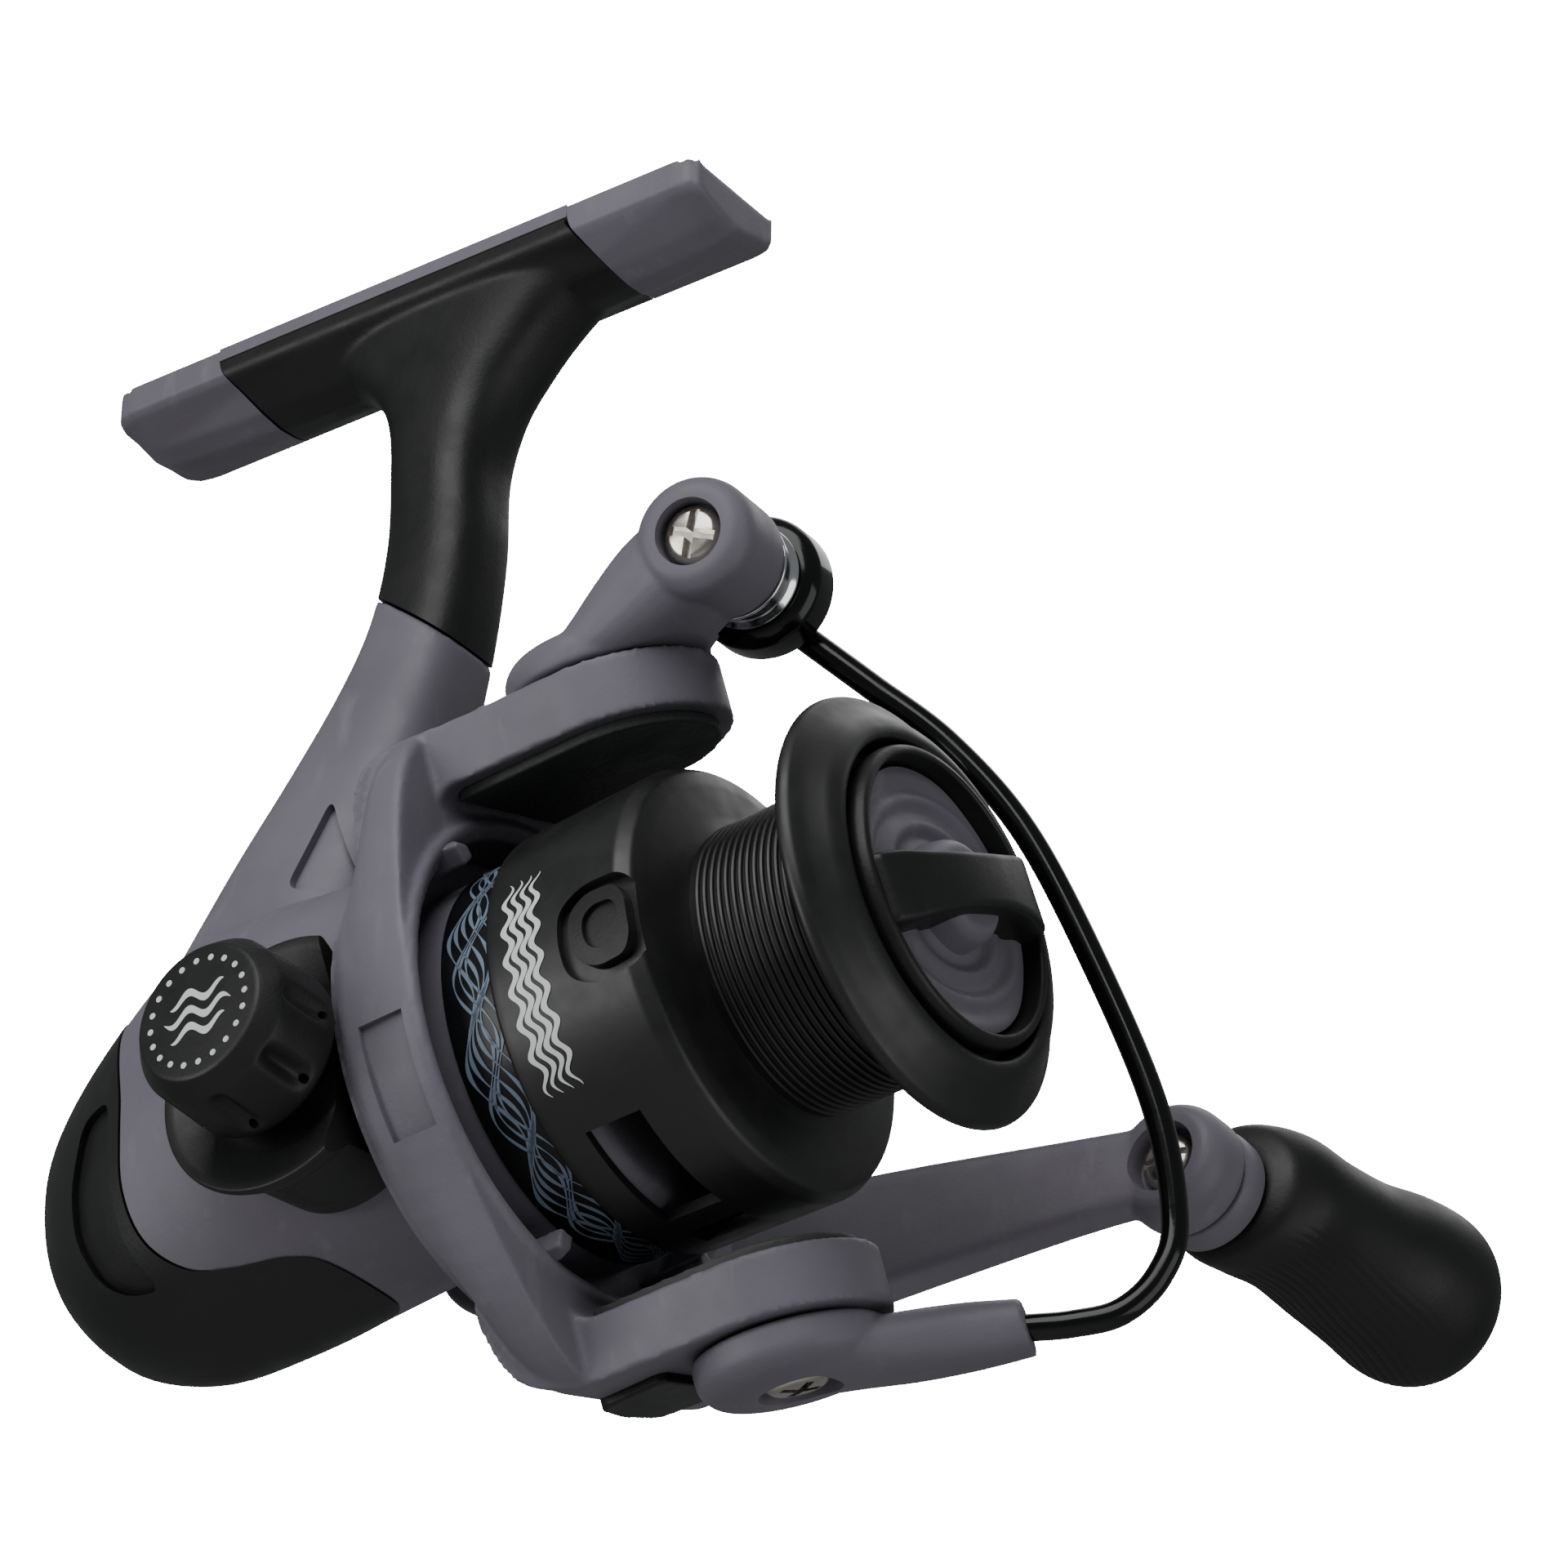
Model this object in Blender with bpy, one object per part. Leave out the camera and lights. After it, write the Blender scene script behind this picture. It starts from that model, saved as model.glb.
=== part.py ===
"""Open-face spinning reel, built as separate sub-parts.

All sizes are in millimetres and are scaled to metres when a mesh is made.
Three frames are used:
  ROW    the part frame: origin on the foot's seat, +X forward, +Y handle side, +Z up
  SPOOL  origin at the middle of the spool's front lip, +X along the spool axis
  ROTOR  the spool frame turned about its X axis so that +Z runs up the bail arm
"""
import math

import bmesh
import bpy
from mathutils import Matrix, Vector

for old in list(bpy.data.objects):
    bpy.data.objects.remove(old, do_unlink=True)

MM = 0.001
GAP = 0.3
SHAFT_TILT = math.radians(5.1)
ROTOR_TURN = math.radians(20.0)
SPOOL_FRONT = Vector((54.9, 0.0, -84.6))

ROW = Matrix.Identity(4)
SPOOL = Matrix.Translation(SPOOL_FRONT) @ Matrix.Rotation(-SHAFT_TILT, 4, "Y")
ROTOR = SPOOL @ Matrix.Rotation(ROTOR_TURN, 4, "X")

# ---------------------------------------------------------------- driving sizes
LIP_R = 19.8
SKIRT_R = 20.1
SKIRT_BACK = -31.0
SKIRT_FRONT = -15.6
ARBOR_R = 13.2
DRUM_R = 23.4
BARREL_R = 18.1
HINGE_X = -22.7
ARM_OUT = 30.2
ARM_IN = 24.6
ARM_END_R = 9.6
SHAFT_R = 1.5
CRANK_X = -51.7
CRANK_Z = -4.3
CRANK_ROOT_Y = 34.0
CRANK_TIP = Vector((-4.8, 48.0, -0.3))
FOOT_HALF = 34.3
FOOT_WIDE = 6.7

LOOKS = {
    "grey": ((0.147, 0.137, 0.162), 0.0, 0.50),
    "black": ((0.016, 0.017, 0.018), 0.0, 0.45),
    "satin": ((0.013, 0.014, 0.014), 0.2, 0.35),
    "rubber": ((0.010, 0.010, 0.011), 0.0, 0.60),
    "steel": ((0.60, 0.59, 0.57), 1.0, 0.25),
    "chrome": ((0.75, 0.76, 0.78), 1.0, 0.08),
    "brass": ((0.66, 0.48, 0.20), 1.0, 0.30),
    "zinc": ((0.42, 0.43, 0.44), 1.0, 0.40),
    "felt": ((0.30, 0.26, 0.20), 0.0, 0.90),
    "band": ((0.020, 0.022, 0.026), 0.0, 0.35),
}


def look(kind):
    """One Principled material per kind of surface."""
    if kind in bpy.data.materials:
        return bpy.data.materials[kind]
    colour, metal, rough = LOOKS[kind]
    mat = bpy.data.materials.new(kind)
    mat.use_nodes = True
    shader = mat.node_tree.nodes["Principled BSDF"]
    shader.inputs["Base Color"].default_value = (*colour, 1.0)
    shader.inputs["Metallic"].default_value = metal
    shader.inputs["Roughness"].default_value = rough
    return mat


def along(start, direction, frame=ROW):
    """A frame whose X axis runs from start in the given direction."""
    turn = Vector((1.0, 0.0, 0.0)).rotation_difference(Vector(direction).normalized())
    return frame @ Matrix.Translation(Vector(start)) @ turn.to_matrix().to_4x4()


def flat(face):
    """True when the corners of a face lie in one plane."""
    spot = face.verts[0].co
    return all(abs((v.co - spot).dot(face.normal)) < 1e-4 for v in face.verts)


def make(name, bm, kind, frame=ROW, pivot=None, sharp=35.0):
    """Turn a bmesh in millimetres into an object whose origin is at pivot."""
    bmesh.ops.remove_doubles(bm, verts=bm.verts, dist=0.001)
    bmesh.ops.recalc_face_normals(bm, faces=bm.faces)
    bent = [f for f in bm.faces if len(f.verts) == 4 and not flat(f)]
    bmesh.ops.triangulate(bm, faces=bent)
    origin = Vector(pivot) if pivot is not None else Vector()
    bm.transform(Matrix.Scale(MM, 4) @ Matrix.Translation(-origin) @ frame)
    mesh = bpy.data.meshes.new(name)
    bm.to_mesh(mesh)
    bm.free()
    obj = bpy.data.objects.new(name, mesh)
    obj.location = origin * MM
    bpy.context.scene.collection.objects.link(obj)
    mesh.materials.append(look(kind))
    mesh.shade_smooth()
    mesh.set_sharp_from_angle(angle=math.radians(sharp))
    return obj


def skin(rings, closed=False):
    """Skin a list of equal rings of points; a ring of one point is a pole."""
    bm = bmesh.new()
    loops = [[bm.verts.new(p) for p in ring] for ring in rings]
    pairs = list(zip(loops, loops[1:]))
    if closed:
        pairs.append((loops[-1], loops[0]))
    for a, b in pairs:
        n = max(len(a), len(b))
        for i in range(n):
            j = (i + 1) % n
            if len(a) == 1:
                bm.faces.new((a[0], b[i], b[j]))
            elif len(b) == 1:
                bm.faces.new((a[i], b[0], a[j]))
            else:
                bm.faces.new((a[i], b[i], b[j], a[j]))
    if not closed:
        for end in (loops[0], loops[-1]):
            if len(end) > 2:
                bm.faces.new(end)
    return bm


def circle(x, r, n, start=0.0):
    if r == 0.0:
        return [Vector((x, 0.0, 0.0))]
    turn = 2.0 * math.pi / n
    return [Vector((x, r * math.cos(start + turn * i), r * math.sin(start + turn * i)))
            for i in range(n)]


def lathe(profile, n=20):
    """Revolve (x, r) points about X; a profile that never meets the axis makes a ring."""
    rings = [circle(x, r, n) for x, r in profile]
    return skin(rings, closed=profile[0][1] > 0.0)


def tube(x0, x1, inner, outer, n=16):
    return lathe([(x0, inner), (x0, outer), (x1, outer), (x1, inner)], n)


def rod(x0, x1, r, n=12):
    return lathe([(x0, 0.0), (x0, r), (x1, r), (x1, 0.0)], n)


def prism(outline, low, high, plane="xz"):
    """Extrude a flat outline; plane names the two axes the outline is drawn in."""
    def lift(p, h):
        spot = {plane[0]: p[0], plane[1]: p[1]}
        other = ({"x", "y", "z"} - set(plane)).pop()
        spot[other] = h
        return Vector((spot["x"], spot["y"], spot["z"]))
    return skin([[lift(p, low) for p in outline], [lift(p, high) for p in outline]])


def arc(cx, cy, r, a0, a1, n):
    """Points on a circle from angle a0 to a1, in degrees."""
    return [(cx + r * math.cos(math.radians(a0 + (a1 - a0) * i / n)),
             cy + r * math.sin(math.radians(a0 + (a1 - a0) * i / n))) for i in range(n + 1)]


def toothed(teeth, root, tip):
    """An outline of plain teeth, one crest and one root each."""
    points = []
    for i in range(teeth):
        for k, r in ((0.0, root), (0.5, tip)):
            a = 2.0 * math.pi * (i + k) / teeth
            points.append((r * math.cos(a), r * math.sin(a)))
    return points


def gear(x0, x1, teeth, root, tip, bore):
    """A toothed ring about X."""
    outer = toothed(teeth, root, tip)
    n = len(outer)
    inner = [(bore * math.cos(2.0 * math.pi * i / n), bore * math.sin(2.0 * math.pi * i / n))
             for i in range(n)]
    rings = [[Vector((x, a, b)) for a, b in pts]
             for x, pts in ((x0, inner), (x0, outer), (x1, outer), (x1, inner))]
    return skin(rings, closed=True)


def pipe(path, r, n=8):
    """A round wire along a path of points."""
    path = [Vector(p) for p in path]
    side = (path[1] - path[0]).orthogonal().normalized()
    rings = []
    for i, p in enumerate(path):
        ahead = path[min(i + 1, len(path) - 1)] - path[max(i - 1, 0)]
        ahead.normalize()
        side = (side - ahead * side.dot(ahead)).normalized()
        other = ahead.cross(side)
        rings.append([p + side * r * math.cos(2.0 * math.pi * k / n)
                      + other * r * math.sin(2.0 * math.pi * k / n) for k in range(n)])
    return skin(rings)


def curve_through(points, steps):
    """A smooth path through the given points."""
    pts = [Vector(p) for p in points]
    pts = [2 * pts[0] - pts[1]] + pts + [2 * pts[-1] - pts[-2]]
    path = []
    for i in range(1, len(pts) - 2):
        p0, p1, p2, p3 = pts[i - 1:i + 3]
        for k in range(steps):
            t = k / steps
            path.append(0.5 * (2 * p1 + (p2 - p0) * t + (2 * p0 - 5 * p1 + 4 * p2 - p3) * t ** 2
                               + (3 * p1 - p0 - 3 * p2 + p3) * t ** 3))
    path.append(pts[-2])
    return path


def boolean(obj, other, kind):
    """Combine with another object that is only a tool and is never shown."""
    mod = obj.modifiers.new(kind.title(), "BOOLEAN")
    mod.operation = kind
    mod.solver = "EXACT"
    mod.object = other
    other.hide_render = True
    other.display_type = "WIRE"


def tool(name, bm, frame=ROW):
    obj = make("tool_" + name, bm, "zinc", frame)
    obj.hide_render = True
    obj.display_type = "WIRE"
    return obj


def cut(obj, *tools):
    for t in tools:
        boolean(obj, t, "DIFFERENCE")


def join(obj, *tools):
    for t in tools:
        boolean(obj, t, "UNION")


def keep(obj, *tools):
    for t in tools:
        boolean(obj, t, "INTERSECT")


# ---------------------------------------------------------------- gearbox, stem and foot
BODY_STATIONS = [
    # x, half width, top, bottom
    (-46.2, 18.8, 21.5, -15.2),
    (-53.0, 18.8, 22.5, -15.8),
    (-61.0, 18.4, 24.0, -16.6),
    (-69.0, 17.3, 24.0, -17.2),
    (-77.0, 15.3, 19.8, -16.2),
    (-84.0, 12.2, 15.3, -12.8),
    (-88.5, 8.6, 11.5, -8.0),
    (-90.8, 4.4, 7.4, -2.4),
]


def body_shape(inset, n=20):
    rings = []
    front, back = BODY_STATIONS[0][0] - inset, BODY_STATIONS[-1][0] + inset
    for x, half, top, bottom in BODY_STATIONS:
        mid = 0.5 * (top + bottom)
        tall = 0.5 * (top - bottom) - inset
        wide = half - inset
        x = min(max(x, back), front)
        if wide < 1.5:
            continue
        ring = []
        for i in range(n):
            a = 2.0 * math.pi * i / n
            c, s = math.cos(a), math.sin(a)
            ring.append(Vector((x, wide * math.copysign(abs(c) ** 0.85, c),
                                mid + tall * math.copysign(abs(s) ** 0.85, s))))
        rings.append(ring)
    return skin(rings)


STEM_STATIONS = [
    # z, back, front, half width
    (-3.0, -12.0, 21.0, 5.6),
    (-6.5, -8.5, 16.0, 5.4),
    (-10.0, -5.2, 12.2, 5.2),
    (-14.0, -3.6, 9.2, 5.0),
    (-20.0, -3.0, 7.4, 4.9),
    (-28.0, -3.0, 7.4, 4.9),
    (-36.0, -4.6, 6.6, 5.1),
    (-43.0, -8.0, 5.2, 5.6),
    (-51.0, -13.0, 3.0, 6.6),
    (-59.0, -18.0, 1.0, 8.0),
    (-70.0, -24.0, -1.0, 10.0),
]


def stem_shape(inset, n=12):
    rings = []
    for z, back, front, half in STEM_STATIONS:
        mid, long, wide = 0.5 * (back + front), 0.5 * (front - back) - inset, half - inset
        ring = []
        for i in range(n):
            a = 2.0 * math.pi * (i + 0.5) / n
            c, s = math.cos(a), math.sin(a)
            ring.append(Vector((mid + long * math.copysign(abs(c) ** 0.8, c),
                                wide * math.copysign(abs(s) ** 0.8, s), z)))
        rings.append(ring)
    return skin(rings)


FOOT_STATIONS = [
    # x, width factor, keel depth
    (-FOOT_HALF, 0.86, 3.9),
    (-FOOT_HALF + 2.2, 1.0, 4.9),
    (-12.0, 1.0, 6.2),
    (14.0, 1.0, 6.0),
    (FOOT_HALF - 2.2, 1.0, 5.2),
    (FOOT_HALF, 0.86, 4.4),
]


def foot_shape(inset=0.0):
    rings = []
    for x, wide, keel in FOOT_STATIONS:
        w = FOOT_WIDE * wide - inset
        x = math.copysign(abs(x) - inset, x)
        half = [(4.2, -inset), (w, 0.5 - inset), (w, -2.6 + inset),
                (0.5 * w, -0.82 * keel + inset), (0.0, -keel + inset)]
        right = [Vector((x, y, z)) for y, z in half]
        left = [Vector((x, -y, z)) for y, z in reversed(half[:-1])]
        rings.append(right + left)
    return skin(rings)


def slab(x0, x1, y0, y1, z0, z1):
    return skin([[Vector((x, y0, z0)), Vector((x, y1, z0)), Vector((x, y1, z1)),
                  Vector((x, y0, z1))] for x in (x0, x1)])


SLEEVE = 1.0
SPLIT_Y = 11.0
COVER_WALL = 1.3
WALL = 1.6

housing = make("body_housing", body_shape(0.0), "grey", SPOOL)
COVER_OUTLINE = [(-95.0, 30.0), (-80.0, 22.0), (-75.0, 13.0), (-74.0, 2.0), (-73.8, -6.0),
                 (-71.4, -11.0), (-66.0, -13.4), (-58.5, -14.4), (-55.0, -17.0), (-52.0, -30.0),
                 (-95.0, -30.0)]
# the seam between the sleeve and the lower stem slopes down towards the front
SEAM_BACK = (-7.0, -29.5)
SEAM_FRONT = (9.0, -42.7)
cover_room = tool("cover_room", prism(COVER_OUTLINE, -40, 40), SPOOL)
cut(cover_room, tool("under_cover", body_shape(COVER_WALL + GAP), SPOOL))
cut(housing, cover_room)

lower_stem = tool("lower_stem", stem_shape(0.0))
below_sleeve = [(-60, -90), (-60, SEAM_BACK[1] - GAP), (SEAM_BACK[0], SEAM_BACK[1] - GAP),
                (SEAM_FRONT[0], SEAM_FRONT[1] - GAP), (40, SEAM_FRONT[1] - GAP), (40, -90)]
keep(lower_stem, tool("below_sleeve", prism(below_sleeve, -30, 30)))
ends = tool("foot_ends", foot_shape())
cut(ends, tool("foot_middle", slab(-21.0 - GAP, 19.5 + GAP, -20, 20, -20, -1.9 + GAP)))
join(housing, lower_stem, tool("stem_core", stem_shape(SLEEVE + GAP)),
     tool("foot_core", foot_shape(SLEEVE + GAP)), ends)

NOSE_R = 15.6
nose = tool("nose", lathe([(-50.0, 0.0), (-50.0, NOSE_R), (-39.0, NOSE_R), (-36.5, 11.0),
                           (-30.2, 11.0), (-30.2, 0.0)], 24), SPOOL)
join(housing, nose)
cavity = tool("cavity", body_shape(WALL + COVER_WALL, 16), SPOOL)
gear_room = tool("gear_room", lathe([(-52.0, 0.0), (-52.0, 13.7), (-39.8, 13.7), (-38.4, 6.9),
                                     (-34.9, 6.9), (-34.9, 8.4), (-29.0, 8.4), (-29.0, 0.0)], 20), SPOOL)
cut(housing, cavity, gear_room)

rear_cover = make("rear_cover", body_shape(0.0), "black", SPOOL)
inner_outline = [(x - GAP, z - (GAP if z < 0 else -GAP)) for x, z in COVER_OUTLINE[1:-1]]
keep(rear_cover, tool("cover_limit", prism([(-96.0, 31.0)] + inner_outline + [(-96.0, -31.0)],
                                           -40, 40), SPOOL))
cut(rear_cover, tool("cover_inside", body_shape(COVER_WALL), SPOOL))

cut(housing, tool("plate_side", slab(-95, -45.9, SPLIT_Y, 30, -30, 19.0), SPOOL))
side_plate = make("side_plate", body_shape(0.0), "grey", SPOOL)
keep(side_plate, tool("plate_limit", slab(-95, -40, SPLIT_Y + GAP, 30, -30, 19.0 - GAP), SPOOL))
cut(side_plate, tool("plate_cavity", body_shape(WALL + COVER_WALL, 16), SPOOL), cover_room)

sleeve = make("stem_sleeve", foot_shape(), "black")
join(sleeve, tool("sleeve_stem", stem_shape(0.0)))
above_seam = [(-21.0, -1.9), (-21.0, SEAM_BACK[1]), SEAM_BACK, SEAM_FRONT, (19.5, SEAM_FRONT[1]),
              (19.5, -1.9)]
keep(sleeve, tool("sleeve_limit", prism(above_seam, -20, 20)))
cut(sleeve, tool("sleeve_foot_core", foot_shape(SLEEVE)), tool("sleeve_core", stem_shape(SLEEVE)))

CRANK_LINE = along((CRANK_X, 0.0, CRANK_Z), (0, 1, 0), SPOOL)
BEARING_R = 4.8
cut(housing, tool("left_bore", rod(-40, -9, BEARING_R, 16), CRANK_LINE))


def ahead_of_body():
    return slab(-46.5, -20, -60, 60, -60, 60)


side_boss = tool("side_boss", lathe([(11.6, 0.0), (11.6, 8.8), (24.6, 7.6), (25.8, 6.6),
                                     (25.8, 0.0)], 20), CRANK_LINE)
cut(side_boss, tool("boss_front", ahead_of_body(), SPOOL))
join(side_plate, side_boss)
cut(side_plate, tool("right_bore", lathe([(10.0, 0.0), (10.0, BEARING_R), (19.2, BEARING_R),
                                          (19.2, 3.3), (40.0, 3.3), (40.0, 0.0)], 16), CRANK_LINE))

# ---------------------------------------------------------------- crank line
collar = make("bearing_collar", lathe([(-11.5, 3.2), (-11.5, 9.0), (-20.3, 9.8), (-21.8, 12.2),
                                       (-22.4, 12.2), (-22.4, 9.6), (-20.0, 3.2)], 24),
              "black", CRANK_LINE)
cut(collar, tool("collar_front", ahead_of_body(), SPOOL),
    tool("collar_seat", body_shape(-GAP), SPOOL),
    tool("collar_bore", rod(-19.2, -8.0, BEARING_R, 16), CRANK_LINE))

for side, name in ((-1, "drive_bearing_left"), (1, "drive_bearing_right")):
    make(name, tube(side * 15.9, side * 18.9, 3.2, BEARING_R - GAP), "steel", CRANK_LINE)

shaft = make("drive_shaft", lathe([(-19.2, 0.0), (-19.2, 2.9), (-3.2, 2.9), (-2.2, 2.3), (2.2, 2.3),
                                   (3.4, 2.9), (30.4, 2.9), (30.4, 0.0)], 12), "steel", CRANK_LINE)
make("drive_gear", gear(3.4, 6.2, 35, 6.5, 7.3, 3.2), "zinc", CRANK_LINE)
make("drive_cog", gear(7.0, 9.4, 11, 4.2, 5.2, 3.2), "zinc", CRANK_LINE)

def cap_ring(y, r, scallop=0.0, n=32):
    return [Vector((y, (r - scallop * (k % 4 == 2)) * math.cos(2 * math.pi * k / n),
                    (r - scallop * (k % 4 == 2)) * math.sin(2 * math.pi * k / n)))
            for k in range(n)]

cap = make("crank_cap", skin([cap_ring(-23.4, 3.0), cap_ring(-23.4, 6.2), cap_ring(-24.6, 7.5),
                              cap_ring(-26.0, 7.7, 0.5), cap_ring(-30.9, 7.6, 0.9),
                              cap_ring(-32.6, 6.6), cap_ring(-32.8, 0.6)]), "black", CRANK_LINE)
make("cap_screw", rod(-23.1, -19.5, 2.6, 12), "steel", CRANK_LINE)

root = Vector((CRANK_X, CRANK_ROOT_Y, CRANK_Z))
tip = CRANK_TIP

def arm_section(center, tall, thick, facing):
    """An eight-sided section of the crank arm."""
    up = Vector((0.0, 0.0, 1.0))
    half = ((0.30, 0.5), (0.5, 0.30), (0.5, -0.30), (0.30, -0.5),
            (-0.30, -0.5), (-0.5, -0.30), (-0.5, 0.30), (-0.30, 0.5))
    return [center + facing * a * thick + up * b * tall for a, b in half]

out = (tip - root).cross(Vector((0, 0, 1))).normalized() * -1.0
crank = make("crank_arm", skin([arm_section(root.lerp(tip, t) + Vector((0, 0, lift)), tall, thick, out)
                                for t, lift, tall, thick in ((-0.06, 2.2, 12.6, 4.4), (0.12, 2.1, 14.2, 4.4),
                                                             (0.5, 1.8, 11.6, 4.0), (1.06, 0.2, 7.8, 3.6))]),
             "grey", SPOOL)
join(crank, tool("crank_boss", rod(30.8, 38.6, 6.6, 16), CRANK_LINE),
     tool("tip_boss", lathe([(-2.8, 0.0), (-2.8, 4.9), (-1.4, 5.8), (2.6, 5.8), (2.6, 0.0)], 16),
          along(tip, (0, 1, 0), SPOOL)))
KNOB_LINE = along(tip, (0, 1, 0), SPOOL)
cut(crank, tool("tip_hole", lathe([(-4.0, 0.0), (-4.0, 3.4), (-0.6, 3.4), (-0.6, 2.1),
                                   (6.0, 2.1), (6.0, 0.0)], 14), KNOB_LINE))
make("knob_screw", lathe([(-2.3, 0.0), (-2.3, 2.6), (-1.5, 3.0), (-0.9, 3.0), (-0.9, 1.7),
                          (22.0, 1.7), (22.0, 0.0)], 12), "steel", KNOB_LINE)
make("knob_collar", tube(2.9, 6.0, 2.1, 5.2, 16), "grey", KNOB_LINE,
     pivot=SPOOL @ tip)

KNOB_STATIONS = [
    # distance out, shift forward, rise, half length along X, half height
    (6.3, 0.5, 0.5, 5.6, 5.6),
    (7.6, 1.3, 0.5, 6.9, 6.9),
    (11.0, 2.4, 0.5, 7.5, 7.1),
    (16.0, 3.0, 0.5, 7.3, 6.7),
    (22.0, 3.4, 0.4, 7.7, 7.1),
    (28.0, 4.2, 0.4, 8.4, 8.0),
    (33.0, 4.4, 0.2, 8.6, 8.4),
    (36.4, 4.3, 0.0, 7.3, 7.2),
    (38.6, 4.2, 0.0, 3.6, 3.6),
]


def knob_shape(n=14):
    """The bent grip, in SPOOL coordinates measured from the crank's tip."""
    rings = []
    for reach, shift, rise, long, tall in KNOB_STATIONS:
        rings.append([tip + Vector((shift + long * math.cos(2 * math.pi * k / n), reach,
                                    rise + tall * math.sin(2 * math.pi * k / n))) for k in range(n)])
    return skin(rings)


knob = make("handle_knob", knob_shape(), "rubber", SPOOL, pivot=SPOOL @ tip)
cut(knob, tool("knob_bore", rod(5, 24.0, 2.1, 12), KNOB_LINE))

# ---------------------------------------------------------------- pinion and oscillation
make("pinion", lathe([(-47.2, 1.8), (-47.2, 2.9), (-24.0, 2.9), (-24.0, 1.8)], 14), "brass", SPOOL)
make("pinion_bearing", tube(-38.1, -35.2, 3.2, 6.6), "steel", SPOOL)
make("one_way_clutch", tube(-34.6, -31.6, 3.2, 8.1), "zinc", SPOOL)
make("clutch_plate", tube(-30.9, -29.9, 3.2, 8.0), "brass", SPOOL)
make("main_shaft", rod(-74.0, 4.6, SHAFT_R, 12), "steel", SPOOL)

COG_X, COG_Z = -64.3, -3.3
COG_LINE = along((COG_X, 0.0, COG_Z), (0, 1, 0), SPOOL)
make("oscillation_gear", gear(6.9, 9.3, 22, 6.2, 7.2, 1.9), "zinc", COG_LINE,
     pivot=SPOOL @ Vector((COG_X, 8.0, COG_Z)))
make("oscillation_pin", rod(4.2, 12.8, 1.6, 10), "steel", COG_LINE)
slider = make("shaft_slider", slab(-71.0, -66.4, -3.4, 3.4, -3.0, 8.4), "zinc", SPOOL)
cut(slider, tool("slider_bore", rod(-80, -60, SHAFT_R + GAP, 12), SPOOL),
    tool("slider_guide", rod(-80, -60, 1.6, 10), along((0, 0, 6.0), (1, 0, 0), SPOOL)))
make("guide_rod", rod(-76.0, -49.0, 1.2, 10), "steel", along((0, 0, 6.0), (1, 0, 0), SPOOL))

# ---------------------------------------------------------------- rotor
DRUM = [(-29.4, 3.2), (-26.9, 3.2), (-26.9, 17.0), (-28.0, BARREL_R), (-41.3, BARREL_R),
        (-41.3, 21.4), (-36.4, 21.4), (-36.0, 22.4), (-36.4, 23.2), (-44.4, DRUM_R),
        (-45.6, 22.2), (-45.6, 21.2), (-44.0, 20.6), (-43.8, 16.6), (-29.4, 16.6)]
rotor = make("rotor", lathe(DRUM, 24), "grey", ROTOR)


def shoulder_outline():
    """Half of the rotor seen along its axis: flat arm tops that run down into the round drum."""
    start, bend, end = Vector((9.6, ARM_OUT)), Vector((16.1, ARM_OUT)), Vector((22.6, 6.06))
    quarter = [(1 - t) ** 2 * start + 2 * t * (1 - t) * bend + t ** 2 * end
               for t in (0, 0.2, 0.4, 0.6, 0.8, 1)]
    upper = [(v.x, v.y) for v in quarter] + [(DRUM_R, 0.0)]
    right = upper + [(y, -z) for y, z in reversed(upper[:-1])]
    return right + [(-y, -z) for y, z in right]


shoulder_rings = []
for x, rise in ((-44.4, 0.0), (-43.4, 0.3), (-41.4, 0.8), (-40.0, 0.97), (-37.3, 0.97)):
    ring = []
    for y, z in shoulder_outline():
        far = Vector((0.0, y, z))
        ring.append(Vector((x, 0, 0)) + far.normalized() * (DRUM_R - 0.5 + rise * (far.length - DRUM_R)))
    shoulder_rings.append(ring)
shoulders = tool("shoulders", skin(shoulder_rings), ROTOR)
cut(shoulders, tool("shoulder_room", rod(-50, -30, 21.2, 24), ROTOR))
join(rotor, shoulders)
ARM_SIDE = [(-45.0, 20.9), (-43.3, 24.0), (-43.2, 25.8), (-42.2, 29.0), (-39.4, ARM_OUT),
            (-10.0, ARM_OUT), (-10.0, ARM_IN), (-36.2, ARM_IN), (-37.2, 22.0), (-40.0, 20.9)]
ARM_PLAN = (arc(HINGE_X, 0.0, ARM_END_R, 90, -90, 8)
            + [(-38.0, -ARM_END_R), (-50.0, -11.5), (-50.0, 11.5), (-38.0, ARM_END_R)])
for side in (0, 1):
    frame = ROTOR @ Matrix.Rotation(math.pi * side, 4, "X")
    arm = tool(f"arm_{side}", prism(ARM_SIDE, -14, 14), frame)
    keep(arm, tool(f"arm_plan_{side}", prism(ARM_PLAN, 15, 40, "xy"), frame))
    join(rotor, arm)
    cut(rotor, tool(f"arm_hole_{side}", rod(20, 34, 2.1, 12),
                    along((HINGE_X, 0, 0), (0, 0, 1), frame)))
    plan = arc(HINGE_X, 0.0, 8.0, 90, -90, 8) + [(-35.6, -8.0), (-35.6, 8.0)]
    inner = make(("bail", "lever")[side] + "_arm_lining", prism(plan, 21.9, ARM_IN - GAP, "xy"),
                 "black", frame)
    cut(inner, tool(f"lining_hole_{side}", rod(20, 30, 3.4, 12),
                    along((HINGE_X, 0, 0), (0, 0, 1), frame)))
    cover = [(-42.6, 0), (-41.8, -6.0), (-33.2, -6.6), (-33.2, 6.6), (-41.8, 6.0)]
    make(("bail", "lever")[side] + "_arm_cover", prism(cover, ARM_OUT + GAP, ARM_OUT + 1.5, "xy"),
         "black", frame)
make("rotor_band", tube(-36.0, -28.6, BARREL_R + 0.08, BARREL_R + 0.3, 24), "band", ROTOR)
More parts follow.
